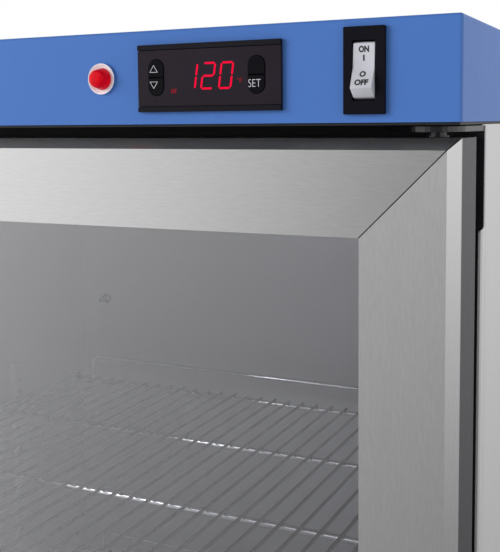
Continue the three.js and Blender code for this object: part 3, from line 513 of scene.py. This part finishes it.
# A round wire along a path of points
def add_wire(shape, path, radius, sides):
    points = [Vector(p) for p in path]
    start_way = (points[1] - points[0]).normalized()
    end_way = (points[-1] - points[-2]).normalized()
    stations = [(points[0] + start_way * radius * along, radius * share) for along, share in WIRE_END]
    stations += [(point, radius) for point in points[1:-1]]
    for along, share in reversed(WIRE_END):
        stations.append((points[-1] - end_way * radius * along, radius * share))
    upright = abs(start_way.z) > NEARLY_UPRIGHT
    across = start_way.cross(Vector((1, 0, 0)) if upright else Vector((0, 0, 1))).normalized()
    rings = []
    for i, (center, size) in enumerate(stations):
        before = stations[max(i - 1, 0)][0]
        after = stations[min(i + 1, len(stations) - 1)][0]
        way = (after - before).normalized()
        across = (across - way * across.dot(way)).normalized()
        other = way.cross(across)
        rings.append([shape.verts.new(center + (across * c + other * s) * size) for c, s in circle(sides)])
    bridge_rings(shape, rings)
    close_ends(shape, rings)


def close_ends(shape, rings):
    shape.faces.new(rings[0])
    shape.faces.new(rings[-1])


# Replaces the inner corners of a path by smooth bends
def round_corners(corners, radius):
    points = [Vector(corners[0])]
    for before, corner, after in zip(corners, corners[1:], corners[2:]):
        corner = Vector(corner)
        back = (Vector(before) - corner).normalized()
        forth = (Vector(after) - corner).normalized()
        reach = radius / math.tan(back.angle(forth) / 2)
        start = corner + back * reach
        end = corner + forth * reach
        for i in range(BEND_STEPS + 1):
            t = i / BEND_STEPS
            points.append(start.lerp(corner, t).lerp(corner.lerp(end, t), t))
    points.append(Vector(corners[-1]))
    return points


# A plate from an outline of (right, up) points, standing off a face by depth
def add_plate(shape, outline, place, depth):
    rings = []
    for level in (0.0, depth):
        rings.append([shape.verts.new(place @ (Vector((u, v, level)) * MM)) for u, v in outline])
    bridge_rings(shape, rings)
    close_ends(shape, rings)


# A matrix whose X is right, Y is up and Z stands out of a face
def face_place(origin, right, up):
    right = Vector(right).normalized()
    out = right.cross(Vector(up)).normalized()
    up = out.cross(right)
    turn = Matrix((right, up, out)).transposed().to_4x4()
    return Matrix.Translation(Vector(origin)) @ turn


# Lettering: its depth in millimetres, and its weight as a shift of the outline, in shares of the letter size

LETTER_DEPTH = 0.03
BOLD = 0.05
PLAIN = -0.015
CURVE_STEPS = 4
STRAIGHT_WITHIN_DEGREES = 1


# Words printed on a face, fitted to a width and a height in millimetres
def add_words(name, words, place, width, height, finish, body, weight=PLAIN):
    curve = bpy.data.curves.new(name, "FONT")
    curve.body = words
    curve.offset = weight
    curve.resolution_u = CURVE_STEPS
    drawn = bpy.data.objects.new(name, curve)
    bpy.context.collection.objects.link(drawn)
    flat = bpy.data.meshes.new_from_object(drawn.evaluated_get(bpy.context.evaluated_depsgraph_get()))
    bpy.data.objects.remove(drawn)
    shape = bmesh.new()
    shape.from_mesh(flat)
    bpy.data.meshes.remove(flat)
    left = min(v.co.x for v in shape.verts)
    right = max(v.co.x for v in shape.verts)
    low = min(v.co.y for v in shape.verts)
    high = max(v.co.y for v in shape.verts)
    straight = math.radians(STRAIGHT_WITHIN_DEGREES)
    bmesh.ops.dissolve_limit(shape, angle_limit=straight, verts=shape.verts, edges=shape.edges)
    lifted = bmesh.ops.extrude_face_region(shape, geom=shape.faces[:])["geom"]
    bmesh.ops.translate(shape, vec=(0, 0, 1), verts=[v for v in lifted if isinstance(v, bmesh.types.BMVert)])
    for v in shape.verts:
        u = ((v.co.x - left) / (right - left) - 0.5) * width
        w = ((v.co.y - low) / (high - low) - 0.5) * height
        v.co = place @ (Vector((u, w, v.co.z * LETTER_DEPTH)) * MM)
    finish_piece(name, shape, finish, body)


# Wire shelves: rods across, under wires that run from front to back; one plated wire, with the rods painted
# bright for painted highlights and the wires painted darker for painted shade

SHELF_ROD = 5.0 * MM
SHELF_WIRE = 2.8 * MM
WIRE_PITCH = 15.875 * MM
WIRE_OVERHANG = 4.0 * MM
ROD_COUNT = 4
ROD_SIDES = 16
WIRE_SIDES = 12
BACKSTOP_WIRE = 4.0 * MM
BACKSTOP_BEND = 9.0 * MM
BACKSTOP_SIDES = 14


def wire_shelf(node):
    low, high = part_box(node)
    shape = bmesh.new()
    rod_z = low.z + SHELF_ROD / 2
    wire_z = high.z - SHELF_WIRE / 2
    back = high.y - WIRE_OVERHANG
    pitch = (back - low.y - WIRE_OVERHANG) / (ROD_COUNT - 1)
    for i in range(ROD_COUNT):
        y = back - i * pitch
        add_wire(shape, [(low.x, y, rod_z), (0, y, rod_z), (high.x, y, rod_z)], SHELF_ROD / 2, ROD_SIDES)
    rod_faces = set(shape.faces)
    wires_per_side = round((high.x - SHELF_WIRE / 2) / WIRE_PITCH)
    for i in range(-wires_per_side, wires_per_side + 1):
        x = i * WIRE_PITCH
        path = [(x, low.y, wire_z), (x, 0, wire_z), (x, high.y, wire_z)]
        add_wire(shape, path, SHELF_WIRE / 2, WIRE_SIDES)
    # The wires take the dark copy of the plated finish: painted shade
    for face in set(shape.faces) - rod_faces:
        face.material_index = 1
    stand_in(node, shape).data.materials.append(FINISH["chrome_shade_painted"])


def backstop(node):
    low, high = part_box(node)
    radius = BACKSTOP_WIRE / 2
    y = (low.y + high.y) / 2
    top = high.z - radius
    corners = [(low.x + radius, y, low.z), (low.x + radius, y, top), (high.x - radius, y, top),
               (high.x - radius, y, low.z)]
    shape = bmesh.new()
    add_wire(shape, round_corners(corners, BACKSTOP_BEND), radius, BACKSTOP_SIDES)
    stand_in(node, shape)


# Pull handle: a round bar on two posts with small collars, in millimetres
# The bar's end is a list of (in from the radius, distance from the end)

HANDLE_RADIUS = 7.0
HANDLE_SIDES = 40
BAR_END = ((1.6, 0.0), (0.5, 0.45), (0.0, 1.6))
POST_RADIUS = 6.0
POST_SIDES = 32
POST_INSET = 45.0
COLLAR_RADIUS = 8.5
COLLAR_THICKNESS = 3.0
COLLAR_EDGE = 0.6


def pull_handle():
    low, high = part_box("door_handle")
    length = (high.z - low.z) / MM
    x = (low.x + high.x) / 2
    bar_y = low.y + HANDLE_RADIUS * MM
    shape = bmesh.new()
    end = [(0, 0)] + [(HANDLE_RADIUS - inward, height) for inward, height in BAR_END]
    profile = end + [(radius, length - height) for radius, height in reversed(end)]
    add_lathe(shape, profile, Matrix.Translation((x, bar_y, low.z)), HANDLE_SIDES)
    reach = (high.y - bar_y) / MM
    post = [(0, 0), (COLLAR_RADIUS, 0), (COLLAR_RADIUS, COLLAR_THICKNESS - COLLAR_EDGE),
            (COLLAR_RADIUS - COLLAR_EDGE, COLLAR_THICKNESS), (POST_RADIUS, COLLAR_THICKNESS),
            (POST_RADIUS, reach), (0, reach)]
    for z in (low.z + POST_INSET * MM, high.z - POST_INSET * MM):
        add_lathe(shape, post, face_place((x, high.y, z), (1, 0, 0), (0, 0, 1)), POST_SIDES)
    stand_in("door_handle", shape)


# Pilot lamp: heights stand out of the hood's front, in millimetres
# A rounded edge is a list of (in from the radius, below the front)

RING_RADIUS = 8.0
RING_FOOT = 7.2
RING_FOOT_GAP = 0.02
RING_THICKNESS = 1.8
RING_RIM = ((0.1, 0.8), (0.0, 0.6), (0.0, 0.25), (0.1, 0.07), (0.3, 0.0))
RING_DISH = 0.4
DISH_CLEARANCE = 0.3
LAMP_BORE = 4.5
LAMP_BORE_DEPTH = 10.3
LAMP_BARREL = 6.2
LAMP_NUT = 8.5
LAMP_NUT_BACK = 6.0
PANEL_BACK = 1.8
LENS_RADIUS = 5.7
LENS_SEAT = 0.7
LENS_EDGE = 0.2
LENS_TIP = 4.5
LENS_SHOULDER = 5.5
LENS_FRONT = 6.3
LENS_ROUND = ((0.2, 0.35), (0.8, 0.0))
LENS_CROWN = 6.7
CROWN_FALL = 0.1
LENS_STEM = 4.2
LENS_STEM_DEPTH = 10.0
LENS_SMOOTH_UP_TO_DEGREES = 50
LAMP_SIDES = 64


def pilot_lamp():
    low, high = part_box("pilot_bezel")
    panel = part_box("control_hood")[0].y
    place = face_place(((low.x + high.x) / 2, panel, (low.z + high.z) / 2), (1, 0, 0), (0, 0, 1))
    back = (panel - high.y) / MM
    ring = [(0, back), (LAMP_BARREL, back), (LAMP_BARREL, -LAMP_NUT_BACK), (LAMP_NUT, -LAMP_NUT_BACK),
            (LAMP_NUT, -PANEL_BACK), (LAMP_BARREL, -PANEL_BACK), (LAMP_BARREL, RING_FOOT_GAP),
            (RING_FOOT, RING_FOOT_GAP)]
    ring += [(RING_RADIUS - inward, RING_THICKNESS - drop) for inward, drop in RING_RIM]
    ring += [(LENS_RADIUS + DISH_CLEARANCE, RING_DISH), (LAMP_BORE, RING_DISH), (LAMP_BORE, -LAMP_BORE_DEPTH),
             (0, -LAMP_BORE_DEPTH)]
    shape = bmesh.new()
    add_lathe(shape, ring, place, LAMP_SIDES)
    stand_in("pilot_bezel", shape)
    lens = [(0, -LENS_STEM_DEPTH), (LENS_STEM, -LENS_STEM_DEPTH), (LENS_STEM, LENS_SEAT),
            (LENS_RADIUS - LENS_EDGE, LENS_SEAT), (LENS_RADIUS, LENS_SEAT + LENS_EDGE),
            (LENS_TIP, LENS_SHOULDER)]
    lens += [(LENS_TIP - inward, LENS_FRONT - drop) for inward, drop in LENS_ROUND]
    lens += [(LENS_TIP / 2, LENS_CROWN - CROWN_FALL), (0, LENS_CROWN)]
    shape = bmesh.new()
    add_lathe(shape, lens, place, LAMP_SIDES)
    stand_in("pilot_lens", shape, LENS_SMOOTH_UP_TO_DEGREES)


# Rocker switch: the same section as the solid, with its folds and ends rounded, and its lettering
# The section is measured from the bezel's front and middle: depth into the cabinet, and height

ROCKER_PIVOT_DEPTH = 5.5
ROCKER_RADIUS = 13.2
ROCKER_SKIRT_DEGREES = 15
ROCKER_FACE_DEPTH = 0.5
ROCKER_FACE_DEGREES = math.degrees(math.asin((ROCKER_PIVOT_DEPTH - ROCKER_FACE_DEPTH) / ROCKER_RADIUS))
ROCKER_BREAK = (ROCKER_FACE_DEPTH, 1.2)
ROCKER_CREST = (-4.6, -8.0)
ROCKER_ROUND = 0.45
ROCKER_ROUND_STEPS = 3
ROCKER_ARC_STEPS = 8
# On each half: the piece's name, its sign, its place up the face as a share, its width and its height
ROCKER_WORDS = {
    "on": (("rocker_word_on", "ON", 0.755, 4.9, 3.0), ("rocker_mark_on", "I", 0.40, 0.8, 2.8)),
    "off": (("rocker_mark_off", "O", 0.68, 3.0, 3.0), ("rocker_word_off", "OFF", 0.27, 6.5, 3.0)),
}


# Points on the rocker's round ends, by degrees from straight up towards the front
def rocker_arc(first, last):
    points = []
    for i in range(ROCKER_ARC_STEPS + 1):
        angle = math.radians(first + (last - first) * i / ROCKER_ARC_STEPS)
        points.append((ROCKER_PIVOT_DEPTH - ROCKER_RADIUS * math.sin(angle), ROCKER_RADIUS * math.cos(angle)))
    return points


def rocker():
    low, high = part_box("switch_rocker")
    bezel_low, bezel_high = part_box("switch_bezel")
    middle = (bezel_low + bezel_high) / 2
    origin = Vector((middle.x, bezel_low.y, middle.z))
    upper = rocker_arc(-ROCKER_SKIRT_DEGREES, ROCKER_FACE_DEGREES)
    lower = rocker_arc(180 - ROCKER_FACE_DEGREES, 180 + ROCKER_SKIRT_DEGREES)
    corners = upper + [ROCKER_BREAK, ROCKER_CREST] + lower
    half = (high.x - low.x) / 2
    shape = bmesh.new()
    rings = []
    for x in (-half, half):
        rings.append([shape.verts.new(origin + Vector((x, y * MM, z * MM))) for y, z in corners])
    bridge_rings(shape, rings)
    caps = [shape.faces.new(ring) for ring in rings]
    rounded = {edge for cap in caps for edge in cap.edges}
    for corner in (upper[-1], ROCKER_CREST, lower[0]):
        index = corners.index(corner)
        rounded.add(shape.edges.get((rings[0][index], rings[1][index])))
    bmesh.ops.bevel(shape, geom=list(rounded), offset=ROCKER_ROUND * MM, segments=ROCKER_ROUND_STEPS,
                    affect="EDGES", profile=0.5)
    stand_in("switch_rocker", shape)
    faces = {"on": (ROCKER_BREAK, upper[-1]), "off": (ROCKER_CREST, ROCKER_BREAK)}
    for side, (below, above) in faces.items():
        foot = origin + Vector((0, below[0], below[1])) * MM
        rise = Vector((0, above[0] - below[0], above[1] - below[1])) * MM
        for name, text, share, width, height in ROCKER_WORDS[side]:
            place = face_place(foot + rise * share, (1, 0, 0), rise)
            add_words(name, text, place, width, height, "dark_ink", "rocker", BOLD)


# Controller face: lit digits, dim signs and key marks, placed from the bezel's middle in millimetres
# A sign is placed by its middle, and has a width and a height

DISPLAY = "120"
DIGIT_HEIGHT = 13.3
DIGIT_WIDTH = 7.3
DIGIT_PITCH = 9.8
DIGIT_STROKE = 1.0
DIGIT_GAP = 0.2
DIGIT_SLANT = math.tan(math.radians(8))
FIRST_DIGIT_LEFT = -13.65
DIGIT_BOTTOM = -6.1
SEGMENTS_OF = {"1": "bc", "2": "abged", "0": "abcdef"}
DEGREE_SIGN = (17.7, -2.05, 3.0, 2.3)
HEAT_SIGN_BARS = (-20.1, -19.0, -17.9)
HEAT_SIGN_SPAN = (-7.5, -5.4)
HEAT_SIGN_STROKE = 0.4


# The plane of a front, with its middle taken from the controller's bezel
def controller_plane(node):
    low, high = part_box("controller_bezel")
    return face_place(((low.x + high.x) / 2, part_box(node)[0].y, (low.z + high.z) / 2), (1, 0, 0), (0, 0, 1))


# One bar of a digit with seven bars, lettered a to g clockwise from the top, with g across the middle
def segment_outline(letter):
    w, h, t, g = DIGIT_WIDTH, DIGIT_HEIGHT, DIGIT_STROKE, DIGIT_GAP
    mid = h / 2
    flat = {"a": h - t / 2, "g": mid, "d": t / 2}
    if letter in flat:
        v = flat[letter]
        left, right = t / 2 + g, w - t / 2 - g
        return [(left, v), (left + t / 2, v - t / 2), (right - t / 2, v - t / 2), (right, v),
                (right - t / 2, v + t / 2), (left + t / 2, v + t / 2)]
    u = w - t / 2 if letter in "bc" else t / 2
    low, high = (mid + g, h - t / 2 - g) if letter in "bf" else (t / 2 + g, mid - g)
    return [(u, low), (u + t / 2, low + t / 2), (u + t / 2, high - t / 2), (u, high),
            (u - t / 2, high - t / 2), (u - t / 2, low + t / 2)]


def controller_face():
    place = controller_plane("controller_facia")
    for index, digit in enumerate(DISPLAY):
        left = FIRST_DIGIT_LEFT + index * DIGIT_PITCH
        shape = bmesh.new()
        for letter in SEGMENTS_OF[digit]:
            outline = [(left + u + v * DIGIT_SLANT, DIGIT_BOTTOM + v) for u, v in segment_outline(letter)]
            add_plate(shape, outline, place, LETTER_DEPTH)
        finish_piece(f"digit_{index}", shape, "digit", "cabinet")
    u, v, width, height = DEGREE_SIGN
    sign_place = place @ Matrix.Translation(Vector((u, v, 0)) * MM)
    add_words("degree_sign", "\u00b0F", sign_place, width, height, "dim_sign", "cabinet")
    shape = bmesh.new()
    low, high = HEAT_SIGN_SPAN
    lean = (high - low) * DIGIT_SLANT
    for u in HEAT_SIGN_BARS:
        bar = [(u, low), (u + HEAT_SIGN_STROKE, low), (u + HEAT_SIGN_STROKE + lean, high), (u + lean, high)]
        add_plate(shape, bar, place, LETTER_DEPTH)
    finish_piece("heat_sign", shape, "dim_sign", "cabinet")


ARROW_CENTER = -29.9
ARROW_HALF_WIDTH = 2.4
ARROW_SPANS = {"key_up": (2.95, 6.7), "key_down": (-1.6, -5.2)}
ARROW_INNER = 0.82
SET_WORD = (25.95, -3.65, 6.5, 3.7)


# An outlined triangle from its base to its tip
def arrow_plates(base, tip):
    left, right = ARROW_CENTER - ARROW_HALF_WIDTH, ARROW_CENTER + ARROW_HALF_WIDTH
    outer = [(left, base), (ARROW_CENTER, tip), (right, base)]
    middle = Vector((ARROW_CENTER, base + (tip - base) / 3))
    inner = [tuple(middle + (Vector(point) - middle) * ARROW_INNER) for point in outer]
    return [[outer[i], outer[(i + 1) % 3], inner[(i + 1) % 3], inner[i]] for i in range(3)]


def key_marks():
    for key, (base, tip) in ARROW_SPANS.items():
        shape = bmesh.new()
        for outline in arrow_plates(base, tip):
            add_plate(shape, outline, controller_plane(key), LETTER_DEPTH)
        finish_piece(f"{key}_arrow", shape, "pale_ink", key)
    u, v, width, height = SET_WORD
    place = controller_plane("key_set") @ Matrix.Translation(Vector((u, v, 0)) * MM)
    add_words("key_set_word", "SET", place, width, height, "pale_ink", "key_set")


# Dark line of sealant in the four mitres of the door, over the front and down the folded bevel

MITRE_WIDTH = 0.5 * MM
MITRE_PROUD = 0.03 * MM


def mitre_lines():
    low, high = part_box("door_rail_top")
    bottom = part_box("door_rail_bottom")[0].z
    for level, z, rise in (("top", high.z, -1), ("bottom", bottom, 1)):
        for side, x, run in (("left", low.x, 1), ("right", high.x, -1)):
            mitre_line(f"mitre_line_{level}_{side}", Vector((x, low.y, z)), run, rise, high.z - low.z)


# Runs from the door's corner inwards, by run along X and by rise along Z
def mitre_line(name, corner, run, rise, frame_width):
    across = Vector((run, 0, -rise)).normalized() * MITRE_WIDTH / 2
    off_front = Vector((0, -MITRE_PROUD, 0))
    off_side = Vector((-run, 0, -rise)) * MITRE_PROUD
    shape = bmesh.new()
    rings = []
    stations = ((0, DOOR_BEVEL, off_side), (DOOR_BEVEL, 0, off_front), (frame_width, 0, off_front))
    for inset, depth, lift in stations:
        top = corner + Vector((run * inset, depth, rise * inset)) + lift
        sunk = top - 2 * off_front
        rings.append([shape.verts.new(p) for p in (top - across, top + across, sunk + across, sunk - across)])
    bridge_rings(shape, rings)
    close_ends(shape, rings)
    finish_piece(name, shape, "rubber", "door")


# Spacer between the panes: a slim bar that stays behind the frame's lip

SPACER_WIDTH = 6.4 * MM


def glass_spacer():
    low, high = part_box("glass_spacer")
    shape = bmesh.new()
    rings = []
    for y, inset in ((low.y, 0), (high.y, 0), (high.y, SPACER_WIDTH), (low.y, SPACER_WIDTH)):
        left, right = low.x + inset, high.x - inset
        bottom, top = low.z + inset, high.z - inset
        corners = ((left, y, bottom), (right, y, bottom), (right, y, top), (left, y, top))
        rings.append([shape.verts.new(corner) for corner in corners])
    bridge_rings(shape, rings + rings[:1])
    stand_in("glass_spacer", shape)


# Pan head screws with a cross on the head, in millimetres

SCREW_RADIUS = 3.4
SCREW_HEIGHT = 2.0
SCREW_SINK = 0.2
SCREW_RIM = 0.7
SCREW_DOME_DEGREES = (20, 40, 60, 75)
SCREW_SIDES = 24
CROSS_HALF_LENGTH = 1.87
CROSS_HALF_WIDTH = 0.442
CROSS_DEPTH = 0.16
CROSS_SINK = 0.12


def screw(name, place, finish):
    profile = [(0, -SCREW_SINK), (SCREW_RADIUS, -SCREW_SINK), (SCREW_RADIUS, SCREW_RIM)]
    for degrees in SCREW_DOME_DEGREES:
        angle = math.radians(degrees)
        height = SCREW_RIM + (SCREW_HEIGHT - SCREW_RIM) * math.sin(angle)
        profile.append((SCREW_RADIUS * math.cos(angle), height))
    shape = bmesh.new()
    add_lathe(shape, profile + [(0, SCREW_HEIGHT)], place, SCREW_SIDES)
    head = place @ Matrix.Translation((0, 0, (SCREW_HEIGHT - CROSS_SINK) * MM))
    for u, v in ((CROSS_HALF_LENGTH, CROSS_HALF_WIDTH), (CROSS_HALF_WIDTH, CROSS_HALF_LENGTH)):
        add_plate(shape, [(-u, -v), (u, -v), (u, v), (-u, v)], head, CROSS_DEPTH)
    finish_piece(name, shape, finish, "cabinet")


HINGE_SCREW_FROM_ARM = (20.4, 44.4)
HINGE_SCREW_FROM_SIDE = 10.0
HINGE_LEG_PLATE = 2.6


def hinge_screws():
    for node, way in (("hinge_bracket_top", -1), ("hinge_bracket_bottom", 1)):
        low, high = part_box(node)
        arm = high.z if way < 0 else low.z
        leg_face = high.y - HINGE_LEG_PLATE * MM
        x = high.x - HINGE_SCREW_FROM_SIDE * MM
        for index, drop in enumerate(HINGE_SCREW_FROM_ARM):
            place = face_place((x, leg_face, arm + way * drop * MM), (1, 0, 0), (0, 0, 1))
            screw(f"{node}_screw_{index}", place, "hinge_black")


BACK_SCREW_FROM_SIDE = 6.5
BACK_SCREW_FROM_END = 30.0
BACK_SCREW_ROWS = 5


def back_panel_screws():
    low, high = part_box("back_panel")
    inset = BACK_SCREW_FROM_SIDE * MM
    first, last = low.z + BACK_SCREW_FROM_END * MM, high.z - BACK_SCREW_FROM_END * MM
    for side, x in (("left", low.x + inset), ("right", high.x - inset)):
        for row in range(BACK_SCREW_ROWS):
            z = first + (last - first) * row / (BACK_SCREW_ROWS - 1)
            place = face_place((x, high.y, z), (-1, 0, 0), (0, 0, 1))
            screw(f"back_screw_{side}_{row}", place, "zinc")


# Levelling feet with a smooth pad, a hexagonal lock nut and a stud
# Points are (radius, height) in millimetres, and on the pad's edge (in from its radius, height)

PAD_EDGE = ((1.8, 0.0), (0.5, 0.5), (0.0, 1.8), (0.0, 6.2), (0.9, 8.0))
PAD_NECK = [(11.0, 11.0), (7.6, 12.6), (7.0, 13.6), (7.0, 29.0), (0, 29.0)]
PAD_SIDES = 40
LOCK_NUT = [(0, 28.7), (9.6, 28.7), (11.0, 29.5), (11.0, 34.0), (9.8, 34.7), (0, 34.7)]
NUT_SIDES = 6
STUD_FOOT = 34.7
STUD_RADIUS = 4.8
STUD_EDGE = 0.8
STUD_SIDES = 24


def levelling_feet():
    for place in ("front_left", "front_right", "rear_left", "rear_right"):
        node = f"foot_{place}"
        low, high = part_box(node)
        center = Matrix.Translation(((low.x + high.x) / 2, (low.y + high.y) / 2, low.z))
        pad_radius = (high.x - low.x) / 2 / MM
        top = (high.z - low.z) / MM
        pad = [(0, 0)] + [(pad_radius - inward, height) for inward, height in PAD_EDGE] + PAD_NECK
        stud = [(0, STUD_FOOT), (STUD_RADIUS, STUD_FOOT), (STUD_RADIUS, top - STUD_EDGE),
                (STUD_RADIUS - STUD_EDGE, top), (0, top)]
        shape = bmesh.new()
        for profile, sides in ((pad, PAD_SIDES), (LOCK_NUT, NUT_SIDES), (stud, STUD_SIDES)):
            add_lathe(shape, profile, center, sides)
        stand_in(node, shape)


# Studio: a pale floor, soft light from the front left, and white behind the object; places in metres

FLOOR_SIZE = 7.0
FLOOR_FADE = (1.0, 3.2)

# Light level by direction: each ramp runs along one axis over a span, between two levels, and fades towards
# the ground to a share of its own; the brightest of them counts, and the ceiling is dark
STUDIO_RAMPS = (
    ("X", (-0.215, -0.68), (0.31, 1.42), 0.65),
    ("X", (0.35, 0.85), (0.0, 1.45), 0.25),
    ("Y", (0.0, 0.9), (0.0, 0.95), 0.5),
    ("Z", (0.28, 0.36), (0.0, 2.2), 1.0),
)
GROUND_SPAN = (0.0, -0.45)
CEILING_SPAN = (0.41, 0.53)
CEILING_LEVELS = (1.0, 0.06)

# Each lamp's name, place, aim, size and power in watts
LAMPS = (
    ("key_lamp", (-1.7, -1.9, 1.3), (0.1, -0.25, 0.6), 1.5, 39),
    ("back_lamp", (0.9, 2.2, 2.2), (0.5, 1.6, 0), 1.8, 32),
)


# White to the camera, also through glass; what metal and glass mirror is the graded light of the studio
def world_light():
    world = bpy.data.worlds.new("studio")
    bpy.context.scene.world = world
    world.use_nodes = True
    tree = world.node_tree
    tree.nodes.clear()
    mix = tree.nodes.new("ShaderNodeMixShader")
    tree.links.new(seen_straight(tree), mix.inputs[0])
    for socket, strength in ((mix.inputs[1], studio_level(tree)), (mix.inputs[2], None)):
        white = tree.nodes.new("ShaderNodeBackground")
        white.inputs["Color"].default_value = (1, 1, 1, 1)
        if strength:
            tree.links.new(strength, white.inputs["Strength"])
        tree.links.new(white.outputs[0], socket)
    tree.links.new(mix.outputs[0], tree.nodes.new("ShaderNodeOutputWorld").inputs["Surface"])


def studio_level(tree):
    split = tree.nodes.new("ShaderNodeSeparateXYZ")
    tree.links.new(tree.nodes.new("ShaderNodeTexCoord").outputs["Generated"], split.inputs[0])
    height = split.outputs["Z"]
    level = None
    for axis, span, levels, ground_share in STUDIO_RAMPS:
        ramp = range_node(tree, split.outputs[axis], span, levels)
        part = math_node(tree, "MULTIPLY", ramp, range_node(tree, height, GROUND_SPAN, (1.0, ground_share)))
        level = math_node(tree, "MAXIMUM", level, part) if level else part
    return math_node(tree, "MULTIPLY", level, range_node(tree, height, CEILING_SPAN, CEILING_LEVELS))


# 1 for a ray from the camera, or through glass, that no surface has mirrored
def seen_straight(tree):
    light_path = tree.nodes.new("ShaderNodeLightPath").outputs
    seen = math_node(tree, "MAXIMUM", light_path["Is Camera Ray"], light_path["Is Transmission Ray"])
    unmirrored = range_node(tree, light_path["Glossy Depth"], (0.0, 1.0), (1.0, 0.0))
    return math_node(tree, "MULTIPLY", seen, unmirrored)


# Pale floor that fades into the white background away from the object; a mirrored ray passes through it and
# meets the graded light of the studio instead
def floor_material():
    material = new_material("pale_floor", (0.86, 0.86, 0.86), 0.8, sockets={"Specular IOR Level": 0.1})
    light_path = add_node(material, "ShaderNodeLightPath").outputs
    distance = add_node(material, "ShaderNodeVectorMath")
    distance.operation = "LENGTH"
    join_sockets(material, object_coordinates(material), distance.inputs[0])
    far = remap(material, distance.outputs["Value"], 0, 1, FLOOR_FADE)
    far_seen = math_node(material.node_tree, "MULTIPLY", far, light_path["Is Camera Ray"])
    clear_where(material, math_node(material.node_tree, "MAXIMUM", far_seen, light_path["Glossy Depth"]))
    return material


def floor():
    shape = bmesh.new()
    reach = FLOOR_SIZE / 2
    corners = ((-reach, -reach, 0), (reach, -reach, 0), (reach, reach, 0), (-reach, reach, 0))
    shape.faces.new([shape.verts.new(corner) for corner in corners])
    mesh = bpy.data.meshes.new("floor")
    shape.to_mesh(mesh)
    shape.free()
    mesh.materials.append(floor_material())
    plane = bpy.data.objects.new("floor", mesh)
    bpy.context.collection.objects.link(plane)


# A lamp that lights surfaces but isn't mirrored in them
def soft_lamp(name, place, aim, size, watts):
    data = bpy.data.lights.new(name, "AREA")
    data.shape = "SQUARE"
    data.size = size
    data.energy = watts
    lamp = bpy.data.objects.new(name, data)
    lamp.location = place
    lamp.visible_glossy = False
    lamp.rotation_euler = (Vector(aim) - Vector(place)).to_track_quat("-Z", "Y").to_euler()
    bpy.context.collection.objects.link(lamp)


def studio():
    world_light()
    floor()
    for lamp in LAMPS:
        soft_lamp(*lamp)
    bpy.context.scene.view_settings.view_transform = "Standard"


photo_camera()
dress_nodes()
round_edges()
for shelf in ("shelf_upper", "shelf_lower"):
    wire_shelf(shelf)
    backstop(f"{shelf}_backstop")
pull_handle()
mitre_lines()
glass_spacer()
pilot_lamp()
rocker()
controller_face()
key_marks()
hinge_screws()
back_panel_screws()
levelling_feet()
studio()
